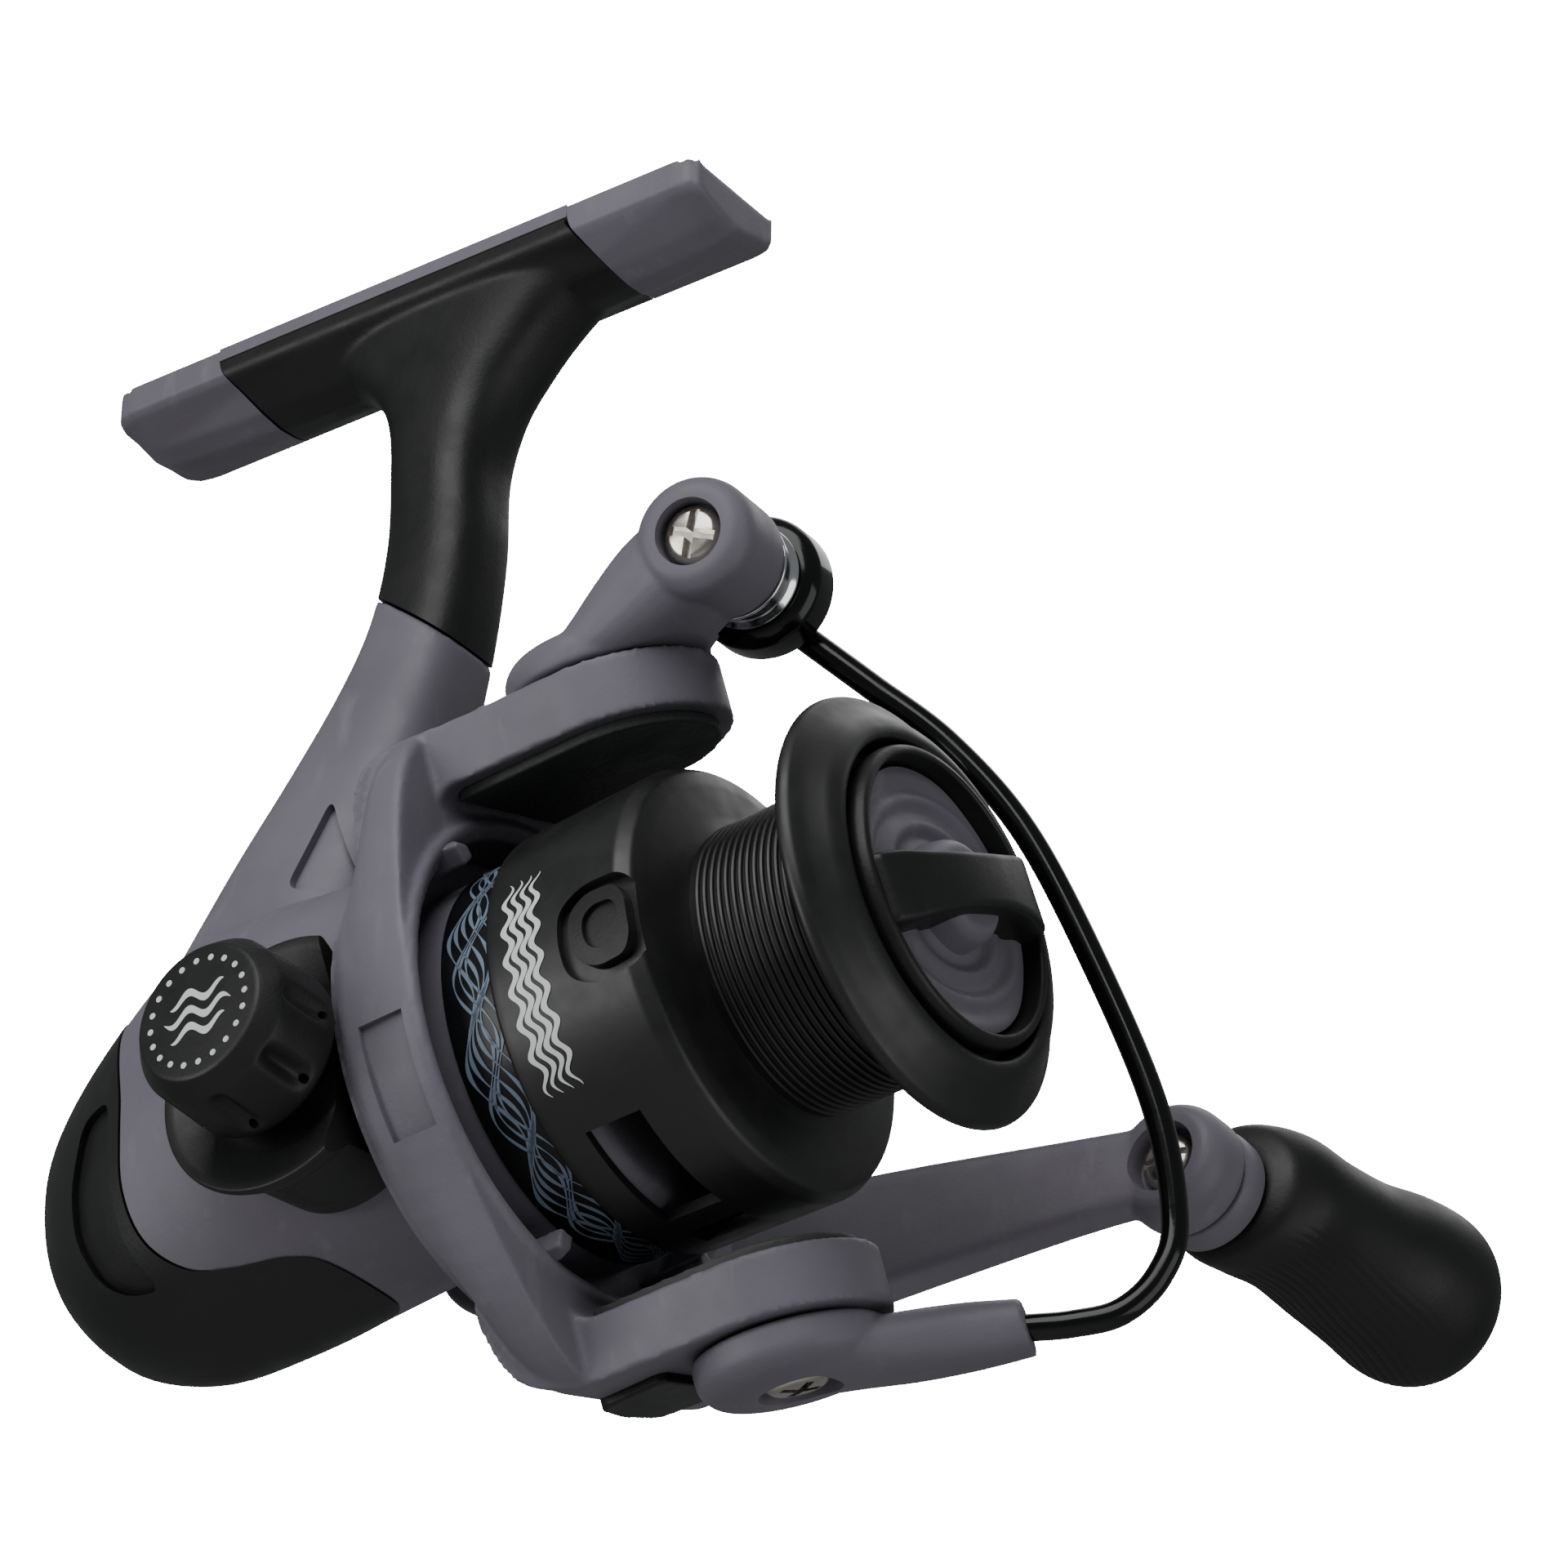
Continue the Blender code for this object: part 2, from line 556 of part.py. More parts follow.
make("rotor_nut", tube(-26.6, -24.4, 3.9, 6.6, 6), "zinc", ROTOR)

# ---------------------------------------------------------------- bail
PIVOT = ROTOR @ Vector((HINGE_X, 0.0, 0.0))
ROLLER_OUT = Vector((-7.0, -8.0, 37.2))
ROLLER_DIR = Vector((-0.18, 0.98, -0.08)).normalized()
ROLLER_LINE = along(ROLLER_OUT, ROLLER_DIR, ROTOR)
DISC_LOW = ARM_OUT + GAP

def hinge_line(frame):
    return along((HINGE_X, 0.0, 0.0), (0, 0, 1), frame)

bail_arm = make("bail_arm", lathe([(DISC_LOW, 0.0), (DISC_LOW, 9.2), (32.4, 9.2), (33.8, 7.6),
                                   (33.8, 0.0)], 20), "grey", hinge_line(ROTOR), pivot=PIVOT)
neck_rings = []
for center, long, wide in (((-20.5, 0.0, 31.5), 7.2, 7.6), ((-17.5, -0.8, 33.6), 6.0, 6.4),
                           ((-13.5, -2.2, 35.2), 5.0, 5.0), ((-9.0, -3.4, 36.6), 4.0, 4.2)):
    tilt = Vector((0.55, 0.0, -0.83))
    neck_rings.append([Vector(center) + tilt * long * math.cos(math.pi * k / 5)
                       + Vector((0, 1, 0)) * wide * math.sin(math.pi * k / 5) for k in range(10)])
join(bail_arm, tool("neck", skin(neck_rings), ROTOR),
     tool("knuckle", lathe([(0.0, 0.0), (0.0, 3.9), (0.9, 4.8), (8.6, 4.8), (9.5, 4.2),
                            (9.5, 0.0)], 18), ROLLER_LINE))
cut(bail_arm, tool("arm_underside", slab(-50, 0, -30, 30, 20, DISC_LOW), ROTOR),
    tool("roller_room", rod(9.6, 20.0, 6.2, 18), ROLLER_LINE),
    tool("roller_bolt_hole", lathe([(-2.0, 0.0), (-2.0, 3.0), (2.4, 3.0), (2.4, 1.6), (14.0, 1.6),
                                    (14.0, 0.0)], 14), ROLLER_LINE),
    tool("bail_pivot_hole", lathe([(25.0, 0.0), (25.0, 2.1), (32.3, 2.1), (32.3, 3.8), (60.0, 3.8),
                                   (60.0, 0.0)], 12), hinge_line(ROTOR)))
make("bail_pivot_screw", lathe([(24.0, 0.0), (24.0, 1.7), (32.6, 1.7), (32.6, 3.3), (34.2, 2.6),
                                (34.2, 0.0)], 12), "steel", hinge_line(ROTOR))

make("roller_bush", tube(9.9, 13.1, 1.6, 2.2, 12), "brass", ROLLER_LINE)
make("line_roller", lathe([(9.8, 2.5), (9.8, 4.1), (10.6, 3.5), (12.4, 3.5), (13.2, 4.1),
                           (13.2, 2.5)], 20), "chrome", ROLLER_LINE,
     pivot=ROTOR @ (ROLLER_OUT + ROLLER_DIR * 11.5))
make("roller_screw", lathe([(0.6, 0.0), (0.6, 2.3), (1.3, 2.7), (2.1, 2.7), (2.1, 1.3),
                            (15.4, 1.3), (15.4, 0.0)], 14), "steel", ROLLER_LINE, pivot=PIVOT)
make("bail_cone", lathe([(15.7, 0.0), (15.7, 1.6), (13.5, 1.6), (13.5, 4.6), (14.3, 5.7),
                         (17.6, 5.7), (18.7, 4.9), (18.7, 0.0)], 20), "black", ROLLER_LINE)
WIRE_R = 1.2
WIRE_POINTS = [(-9.0, 11.7, 31.4), (-8.3, 12.4, 29.3), (-6.8, 12.9, 27.0), (-0.5, 15.7, 18.3),
               (3.5, 17.3, 8.8), (6.2, 17.8, -4.1), (8.2, 17.6, -18.7), (7.7, 16.4, -29.1),
               (5.7, 14.7, -33.6), (2.4, 12.5, -35.9), (-1.2, 10.2, -35.9), (-4.6, 8.3, -35.2)]
make("bail_wire", pipe(curve_through(WIRE_POINTS, 2), WIRE_R, 7), "black", ROTOR, pivot=PIVOT)

LEVER = ROTOR @ Matrix.Rotation(math.pi, 4, "X")
lever = make("bail_lever", lathe([(DISC_LOW, 0.0), (DISC_LOW, 8.6), (33.0, 8.6), (34.4, 7.0),
                                  (34.4, 0.0)], 20), "grey", hinge_line(LEVER), pivot=PIVOT)
bar_rings = []
for center, wide, tall in (((-24.0, 0.0, 32.4), 7.0, 1.8), ((-16.0, -3.6, 33.4), 6.0, 2.6),
                           ((-10.0, -6.2, 34.4), 4.0, 3.0), ((-5.2, -8.0, 35.1), 3.0, 2.8)):
    bar_rings.append([Vector(center) + Vector((0.45, 0.89, 0.0)) * wide * math.cos(math.pi * k / 5)
                      + Vector((0, 0, 1)) * tall * math.sin(math.pi * k / 5) for k in range(10)])
join(lever, tool("lever_bar", skin(bar_rings), LEVER))
cut(lever, tool("lever_underside", slab(-50, 0, -30, 30, 20, DISC_LOW), LEVER),
    tool("lever_pivot_hole", lathe([(25.0, 0.0), (25.0, 2.1), (33.0, 2.1), (33.0, 3.8),
                                    (60.0, 3.8), (60.0, 0.0)], 12), hinge_line(LEVER)),
    tool("wire_end_hole", rod(-2.6, 3.0, WIRE_R + 0.35, 10),
         along((-4.6, 8.3, -35.2), (-1, -0.5, 0.2), ROTOR)))
make("lever_pivot_screw", lathe([(24.0, 0.0), (24.0, 1.7), (33.3, 1.7), (33.3, 3.3), (34.9, 2.6),
                                 (34.9, 0.0)], 12), "steel", hinge_line(LEVER))

# ---------------------------------------------------------------- spool and drag
SPOOL_SECTION = [(3.6, 15.3), (3.6, 14.4), (0.4, 14.4), (0.4, 9.7), (-6.2, 9.7), (-6.2, 1.9),
                 (-8.4, 1.9), (-8.4, 11.4), (-17.2, 11.4), (-17.2, 18.7), (SKIRT_BACK, 18.7),
                 (SKIRT_BACK, 19.5), (-16.6, SKIRT_R), (SKIRT_FRONT, 19.6), (-14.6, 14.4),
                 (-14.0, ARBOR_R), (-2.2, ARBOR_R), (-1.2, 17.4), (-0.3, LIP_R), (0.3, LIP_R),
                 (1.4, 18.2), (2.6, 17.2)]
spool = make("spool", lathe(SPOOL_SECTION, 24), "satin", ROTOR)

def skirt_frame(degrees):
    return SPOOL @ Matrix.Rotation(math.radians(degrees), 4, "X")

cut(spool, tool("clip_room", slab(-22.6, -16.9, -3.0, 3.0, 15, 25), skirt_frame(95)),
    tool("window_1", slab(-27.2, -21.8, -5.6, 5.6, 15, 25), skirt_frame(163)),
    tool("window_2", slab(-27.2, -21.8, -3.2, 3.2, 15, 25), skirt_frame(202)))
CLIP = [(-22.2, 0.0), (-21.4, -1.9), (-17.8, -2.6), (-17.8, 2.6), (-21.4, 1.9)]
make("line_clip", prism(CLIP, 18.9, 20.3, "xy"), "black", skirt_frame(95))
make("click_ratchet", gear(-11.2, -8.7, 16, 6.2, 7.2, 3.2), "zinc", SPOOL)
make("spool_seat", tube(-15.6, -11.6, SHAFT_R + GAP, 2.8, 12), "brass", SPOOL)
for i in range(3):
    x = -5.8 + 1.9 * i
    make(f"drag_felt_{i + 1}", tube(x, x + 0.6, 2.2, 9.2, 12), "felt", SPOOL)
    make(f"drag_disc_{i + 1}", tube(x + 0.9, x + 1.6, 2.2, 9.0, 12), "steel", SPOOL)
make("washer_ring", tube(-0.1, 0.1, 7.8, 9.4, 12), "steel", SPOOL)

KNOB_SECTION = [(0.9, 0.0), (0.9, 13.2), (3.4, 13.9), (4.3, 13.9), (4.3, 12.5), (3.3, 12.5),
                (3.3, 0.0)]
drag = make("drag_knob", lathe(KNOB_SECTION, 24), "black", SPOOL)
BAR_TURN = math.radians(26.0)
BAR = SPOOL @ Matrix.Rotation(BAR_TURN, 4, "X")
bar = [(3.1, -13.0), (4.8, -13.0), (6.6, -8.0), (7.4, -2.0), (7.2, 4.0), (6.4, 9.0), (5.2, 12.2),
       (3.1, 13.0)]
join(drag, tool("knob_bar", prism(bar, -3.2, 3.2, "xy"), BAR))
cut(drag, tool("knob_nut_room", lathe([(-2.0, 0.0), (-2.0, 3.9), (2.4, 3.9), (2.4, 2.2),
                                       (6.2, 2.2), (6.2, 0.0)], 12), SPOOL))
for side, name in ((1, "knob_insert_upper"), (-1, "knob_insert_lower")):
    outline = [(12.2 * math.sin(math.radians(a)), side * 12.2 * math.cos(math.radians(a)))
               for a in range(-72, 73, 18)]
    make(name, prism([(y, z) for y, z in outline], 3.6, 4.4, "yz"), "grey", BAR)
make("drag_nut", tube(0.0, 2.1, 1.8, 3.4, 6), "brass", SPOOL)
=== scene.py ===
"""Open-face spinning reel: final shapes, materials, light and camera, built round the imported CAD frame.

Sizes are in millimetres and become metres when a piece is placed. Three frames are used:
  ROW    the part frame: origin on the foot's seat, +X forward, +Y handle side, +Z up
  SPOOL  origin at the middle of the spool's front lip, +X along the spool axis
  ROTOR  the spool frame turned about its X axis so that +Z runs up the bail arm
"""

import math

import bmesh
import bpy
from mathutils import Matrix, Vector


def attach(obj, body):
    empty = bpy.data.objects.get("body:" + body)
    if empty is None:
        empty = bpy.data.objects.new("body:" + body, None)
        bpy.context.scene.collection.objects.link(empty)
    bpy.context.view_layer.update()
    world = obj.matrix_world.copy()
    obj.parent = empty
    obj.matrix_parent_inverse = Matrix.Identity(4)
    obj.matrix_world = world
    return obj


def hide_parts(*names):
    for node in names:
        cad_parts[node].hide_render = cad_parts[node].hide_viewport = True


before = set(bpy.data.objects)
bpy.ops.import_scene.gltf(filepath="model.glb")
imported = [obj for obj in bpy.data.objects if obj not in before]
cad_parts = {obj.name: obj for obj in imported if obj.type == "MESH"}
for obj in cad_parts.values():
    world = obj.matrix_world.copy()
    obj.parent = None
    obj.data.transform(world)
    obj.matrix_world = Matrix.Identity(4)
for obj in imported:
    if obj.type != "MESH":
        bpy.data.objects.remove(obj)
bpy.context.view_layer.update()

MM = 0.001
SEAM = 0.22
INK_THICKNESS = 0.04
SHAFT_TILT = math.radians(5.1)
ROTOR_TURN = math.radians(20.0)
ROW = Matrix.Identity(4)
SPOOL = Matrix.Translation((54.9, 0.0, -84.6)) @ Matrix.Rotation(-SHAFT_TILT, 4, "Y")
ROTOR = SPOOL @ Matrix.Rotation(ROTOR_TURN, 4, "X")

# ---------------------------------------------------------------- driving sizes, as in the CAD part
LIP_R = 19.8
SKIRT_R = 20.1
SKIRT_BACK = -31.0
SKIRT_FRONT = -15.6
ARBOR_R = 13.2
DRUM_R = 23.4
BARREL_R = 18.1
HINGE_X = -22.7
ARM_OUT = 30.2
ARM_IN = 24.6
ARM_END_R = 9.6
CRANK_X = -51.7
CRANK_Z = -4.3
CRANK_ROOT_Y = 34.0
KNOB_AT = Vector((-4.8, 48.0, -0.3))
FOOT_HALF = 34.3
FOOT_WIDE = 6.7


# ---------------------------------------------------------------- materials
def link(tree, a, b):
    tree.links.new(a, b)


def shader_of(name):
    """A new material, its node tree, its shader and object coordinates."""
    mat = bpy.data.materials.new(name)
    mat.use_nodes = True
    tree = mat.node_tree
    coords = tree.nodes.new("ShaderNodeTexCoord")
    return mat, tree, tree.nodes["Principled BSDF"], coords.outputs["Object"]


def noise(tree, where, scale, detail=3.0, stretch=None):
    node = tree.nodes.new("ShaderNodeTexNoise")
    node.inputs["Scale"].default_value = scale
    node.inputs["Detail"].default_value = detail
    if stretch is not None:
        mapping = tree.nodes.new("ShaderNodeMapping")
        mapping.inputs["Scale"].default_value = stretch
        link(tree, where, mapping.inputs["Vector"])
        where = mapping.outputs["Vector"]
    link(tree, where, node.inputs["Vector"])
    return node.outputs["Fac"]


def ramp(tree, value, stops):
    """A colour ramp through (position, grey or colour) stops."""
    node = tree.nodes.new("ShaderNodeValToRGB")
    points = node.color_ramp.elements
    while len(points) < len(stops):
        points.new(0.5)
    for point, (spot, colour) in zip(points, stops):
        point.position = spot
        point.color = (*colour, 1.0) if isinstance(colour, tuple) else (colour, colour, colour, 1.0)
    link(tree, value, node.inputs["Fac"])
    return node.outputs["Color"]


def mix(tree, amount, a, b):
    node = tree.nodes.new("ShaderNodeMix")
    node.data_type = "RGBA"
    link(tree, amount, node.inputs["Factor"])
    for socket, value in (("A", a), ("B", b)):
        target = [s for s in node.inputs if s.name == socket and s.type == "RGBA"][0]
        if isinstance(value, tuple):
            target.default_value = (*value, 1.0)
        else:
            link(tree, value, target)
    return [s for s in node.outputs if s.type == "RGBA"][0]


def bump(tree, shader, height, strength, distance):
    node = tree.nodes.new("ShaderNodeBump")
    node.inputs["Strength"].default_value = strength
    node.inputs["Distance"].default_value = distance
    link(tree, height, node.inputs["Height"])
    link(tree, node.outputs["Normal"], shader.inputs["Normal"])


def times(colour, factor):
    return tuple(min(1.0, c * factor) for c in colour)


def moulded(name, colour, rough, grain=0.25, wear=None, cloud=0.12, grain_size=2600.0):
    """Moulded plastic: fine spark texture, soft mottling and faint paler scuffs."""
    mat, tree, shader, where = shader_of(name)
    broad = noise(tree, where, 55.0, 4.0)
    base = ramp(tree, broad, ((0.3, times(colour, 1.0 - cloud)), (0.7, times(colour, 1.0 + cloud))))
    if wear is not None:
        scuffs = noise(tree, where, 420.0, 6.0, (1.0, 1.0, 0.35))
        base = mix(tree, ramp(tree, scuffs, ((0.60, 0.0), (0.78, 0.5))), base, wear)
    link(tree, base, shader.inputs["Base Color"])
    patches = noise(tree, where, 260.0, 5.0)
    link(tree, ramp(tree, patches, ((0.3, rough - 0.06), (0.7, rough + 0.07))), shader.inputs["Roughness"])
    bump(tree, shader, noise(tree, where, grain_size, 2.0), grain, 0.00006)
    shader.inputs["Specular IOR Level"].default_value = 0.36
    return mat


def turned_metal(name, colour, rough, stretch=(1.0, 1.0, 1.0), scratch=0.15, coat=0.0):
    """Machined or plated metal with fine tool lines and small roughness changes."""
    mat, tree, shader, where = shader_of(name)
    broad = noise(tree, where, 420.0, 4.0, stretch)
    link(tree, ramp(tree, broad, ((0.3, times(colour, 0.86)), (0.7, colour))), shader.inputs["Base Color"])
    shader.inputs["Metallic"].default_value = 1.0
    shader.inputs["Coat Weight"].default_value = coat
    link(tree, ramp(tree, noise(tree, where, 900.0, 4.0, stretch), ((0.3, rough * 0.7), (0.7, rough * 1.4))),
         shader.inputs["Roughness"])
    bump(tree, shader, noise(tree, where, 2400.0, 2.0, stretch), scratch, 0.00003)
    return mat


def anodised(name, colour, rough):
    """Black anodised aluminium with a satin sheen and faint turning marks round the spool axis."""
    mat, tree, shader, where = shader_of(name)
    broad = noise(tree, where, 70.0, 4.0)
    link(tree, ramp(tree, broad, ((0.3, times(colour, 0.85)), (0.7, times(colour, 1.2)))),
         shader.inputs["Base Color"])
    link(tree, ramp(tree, noise(tree, where, 380.0, 5.0), ((0.3, rough - 0.05), (0.7, rough + 0.06))),
         shader.inputs["Roughness"])
    bump(tree, shader, noise(tree, where, 1500.0, 3.0, (4.0, 0.6, 0.6)), 0.10, 0.00004)
    shader.inputs["Specular IOR Level"].default_value = 0.5
    shader.inputs["Coat Weight"].default_value = 0.06
    shader.inputs["Coat Roughness"].default_value = 0.3
    return mat


GREY = moulded("grey_moulded_plastic", (0.134, 0.124, 0.150), 0.50, wear=(0.19, 0.18, 0.20))
BLACK = moulded("black_moulded_plastic", (0.0078, 0.0084, 0.0080), 0.45, grain=0.35,
               wear=(0.014, 0.015, 0.0145))
TEXTURED = moulded("black_textured_lining", (0.042, 0.046, 0.044), 0.62, grain=1.0, cloud=0.3,
                  grain_size=1300.0)
GLOSSY = moulded("black_gloss_plastic", (0.0035, 0.0038, 0.0040), 0.13, grain=0.05, cloud=0.2)
RUBBER = moulded("black_soft_rubber", (0.0078, 0.0081, 0.0080), 0.46, grain=0.30, cloud=0.15)
SATIN = anodised("satin_black_metal", (0.0052, 0.0057, 0.0053), 0.44)
FILM = moulded("black_printed_film", (0.0045, 0.0050, 0.0058), 0.30, grain=0.08)
PRINT = moulded("pale_blue_grey_ink", (0.150, 0.200, 0.260), 0.40, grain=0.15)
SILVER_PRINT = moulded("silver_ink", (0.62, 0.63, 0.64), 0.38, grain=0.2)
NICKEL = turned_metal("nickel_plated_steel", (0.66, 0.62, 0.56), 0.20)
CHROME = turned_metal("polished_chrome", (0.90, 0.92, 0.94), 0.12, scratch=0.05)
BRASS = turned_metal("machined_brass", (0.66, 0.48, 0.22), 0.28)
ZINC = turned_metal("cast_zinc", (0.42, 0.43, 0.44), 0.40, scratch=0.4)
FELT = moulded("oiled_felt", (0.30, 0.26, 0.20), 0.90, grain=1.0, grain_size=1800.0)


# ---------------------------------------------------------------- mesh tools
def along(start, direction, base=ROW):
    """A frame whose X axis runs from start in the given direction."""
    turn = Vector((1.0, 0.0, 0.0)).rotation_difference(Vector(direction).normalized())
    return base @ Matrix.Translation(Vector(start)) @ turn.to_matrix().to_4x4()


def skin(rings, closed=False):
    """Skin a list of equal rings of points; a ring of one point is a pole."""
    bm = bmesh.new()
    loops = [[bm.verts.new(p) for p in ring] for ring in rings]
    pairs = list(zip(loops, loops[1:]))
    if closed:
        pairs.append((loops[-1], loops[0]))
    for a, b in pairs:
        n = max(len(a), len(b))
        for i in range(n):
            j = (i + 1) % n
            if len(a) == 1:
                bm.faces.new((a[0], b[i], b[j]))
            elif len(b) == 1:
                bm.faces.new((a[i], b[0], a[j]))
            else:
                bm.faces.new((a[i], b[i], b[j], a[j]))
    if not closed:
        for end in (loops[0], loops[-1]):
            if len(end) > 2:
                bm.faces.new(end)
    bmesh.ops.recalc_face_normals(bm, faces=bm.faces)
    return bm


def lathe(profile, n=160):
    """Revolve (x, r) points about X; a profile that never meets the axis makes a ring."""
    rings = []
    for x, r in profile:
        if r == 0.0:
            rings.append([Vector((x, 0.0, 0.0))])
        else:
            rings.append([Vector((x, r * math.cos(2 * math.pi * i / n), r * math.sin(2 * math.pi * i / n)))
                          for i in range(n)])
    return skin(rings, closed=profile[0][1] > 0.0)


def rounded(profile, radius, steps=4):
    """Replace each inner corner of an open outline with a small arc."""
    points = [Vector(p) for p in profile]
    path = [points[0]]
    for before, corner, after in zip(points, points[1:], points[2:]):
        reach = min(radius, 0.45 * (corner - before).length, 0.45 * (after - corner).length)
        a = corner + (before - corner).normalized() * reach
        b = corner + (after - corner).normalized() * reach
        for k in range(steps + 1):
            t = k / steps
            path.append((1 - t) ** 2 * a + 2 * t * (1 - t) * corner + t ** 2 * b)
    path.append(points[-1])
    return [tuple(p) for p in path]


def rounded_loop(outline, radius, steps=4):
    """Round every corner of a closed outline."""
    wrapped = [outline[-1]] + list(outline) + [outline[0]]
    return rounded(wrapped, radius, steps)[1:-1]


def turned(profile, radius=0.4, n=160):
    """Revolve a profile after rounding its corners."""
    return lathe(rounded(profile, radius), n)


def rod(x0, x1, r, n):
    return lathe([(x0, 0.0), (x0, r), (x1, r), (x1, 0.0)], n)


def arc(cx, cy, r, a0, a1, n):
    """Points on a circle from angle a0 to a1, in degrees."""
    return [(cx + r * math.cos(math.radians(a0 + (a1 - a0) * i / n)),
             cy + r * math.sin(math.radians(a0 + (a1 - a0) * i / n))) for i in range(n + 1)]


def prism(outline, low, high, plane="xz"):
    """Extrude a flat outline; plane names the two axes the outline is drawn in."""
    other = ({"x", "y", "z"} - set(plane)).pop()

    def lift(p, h):
        spot = {plane[0]: p[0], plane[1]: p[1], other: h}
        return Vector((spot["x"], spot["y"], spot["z"]))
    return skin([[lift(p, low) for p in outline], [lift(p, high) for p in outline]])


def slab(x0, x1, y0, y1, z0, z1):
    return prism([(x0, z0), (x1, z0), (x1, z1), (x0, z1)], y0, y1)


def smooth_rows(rows, steps):
    """Smooth rows of numbers put between the given rows."""
    rows = [list(r) for r in rows]
    first = [2 * a - b for a, b in zip(rows[0], rows[1])]
    last = [2 * a - b for a, b in zip(rows[-1], rows[-2])]
    ext = [first] + rows + [last]
    out = []
    for i in range(1, len(ext) - 2):
        for k in range(steps):
            t = k / steps
            out.append([0.5 * (2 * b + (c - a) * t + (2 * a - 5 * b + 4 * c - d) * t ** 2
                               + (3 * b - a - 3 * c + d) * t ** 3)
                        for a, b, c, d in zip(*ext[i - 1:i + 3])])
    out.append(rows[-1])
    return out


def pipe(path, r, n=20):
    """A round wire along a path of points."""
    path = [Vector(p) for p in path]
    side = (path[1] - path[0]).orthogonal().normalized()
    rings = []
    for i, p in enumerate(path):
        ahead = path[min(i + 1, len(path) - 1)] - path[max(i - 1, 0)]
        ahead.normalize()
        side = (side - ahead * side.dot(ahead)).normalized()
        other = ahead.cross(side)
        rings.append([p + side * r * math.cos(2 * math.pi * k / n)
                      + other * r * math.sin(2 * math.pi * k / n) for k in range(n)])
    return skin(rings)


def solid(bm, base=ROW):
    """A bmesh in millimetres as an object in metres."""
    bm.transform(Matrix.Scale(MM, 4) @ base)
    mesh = bpy.data.meshes.new("shape")
    bm.to_mesh(mesh)
    bm.free()
    obj = bpy.data.objects.new("shape", mesh)
    bpy.context.scene.collection.objects.link(obj)
    return obj


def settle(obj):
    """Bake an object's modifiers into its mesh."""
    baked = bpy.data.meshes.new_from_object(obj.evaluated_get(bpy.context.evaluated_depsgraph_get()))
    obj.modifiers.clear()
    obj.data = baked
    return obj


def carve(obj, kind, *tools):
    """Combine obj with each tool, and remove the tool."""
    for t in tools:
        mod = obj.modifiers.new("carve", "BOOLEAN")
        mod.operation = kind
        mod.solver = "MANIFOLD"
        mod.object = t
        settle(obj)
        bpy.data.objects.remove(t, do_unlink=True)
    return obj


def cut(obj, *tools):
    return carve(obj, "DIFFERENCE", *tools)


def keep(obj, *tools):
    return carve(obj, "INTERSECT", *tools)


def join(obj, *tools):
    return carve(obj, "UNION", *tools)


def melt(obj, voxel, rounds):
    """Fuse overlapping shapes into one skin with softly rounded edges and corners."""
    mod = obj.modifiers.new("melt", "REMESH")
    mod.mode = "VOXEL"
    mod.voxel_size = voxel * MM
    ease = obj.modifiers.new("ease", "SMOOTH")
    ease.factor = 0.5
    ease.iterations = rounds
    return settle(obj)


def printed(bm, base):
    """Loose strips of ink as one object with a little thickness."""
    bmesh.ops.remove_doubles(bm, verts=bm.verts, dist=0.0005)
    ink = solid(bm, base)
    thick = ink.modifiers.new("thick", "SOLIDIFY")
    thick.thickness = INK_THICKNESS * MM
    return settle(ink)


def piece(obj, name, material, body, *nodes, sharp=38.0):
    """Name a finished shape, give it its material and hang it on its CAD body."""
    obj.name = name
    obj.data.name = name
    obj.data.materials.clear()
    obj.data.materials.append(material)
    obj.data.shade_smooth()
    obj.data.set_sharp_from_angle(angle=math.radians(sharp))
    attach(obj, body)
    if nodes:
        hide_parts(*nodes)
    return obj


# ---------------------------------------------------------------- gearbox, stem and foot
BODY_STATIONS = [
    # x, half width, top, bottom
    (-46.2, 18.8, 21.5, -14.0),
    (-53.0, 18.8, 22.5, -14.6),
    (-61.0, 18.4, 24.0, -15.4),
    (-69.0, 17.3, 24.0, -16.0),
    (-77.0, 15.3, 19.8, -15.6),
    (-84.0, 12.2, 15.3, -12.6),
    (-88.5, 8.6, 11.5, -8.0),
    (-90.8, 4.4, 7.4, -2.4),
]
STEM_STATIONS = [
    # z, back, front, half width
    (-3.0, -12.0, 21.0, 5.6),
    (-6.5, -8.5, 16.0, 5.4),
    (-10.0, -5.2, 12.2, 5.2),
    (-14.0, -3.6, 9.2, 5.0),
    (-20.0, -3.0, 7.4, 4.9),
    (-28.0, -3.0, 7.4, 4.9),
    (-36.0, -4.6, 6.6, 5.1),
    (-43.0, -8.0, 5.2, 5.6),
    (-51.0, -13.0, 3.0, 6.6),
    (-59.0, -18.0, 1.0, 8.0),
    (-70.0, -24.0, -1.0, 10.0),
]
FOOT_STATIONS = [
    # x, width factor, keel depth
    (-FOOT_HALF, 0.80, 3.6),
    (-FOOT_HALF + 1.0, 0.95, 4.4),
    (-FOOT_HALF + 2.6, 1.0, 5.0),
    (-12.0, 1.0, 6.2),
    (14.0, 1.0, 6.0),
    (FOOT_HALF - 2.6, 1.0, 5.2),
    (FOOT_HALF - 1.0, 0.97, 4.8),
    (FOOT_HALF, 0.84, 4.2),
]


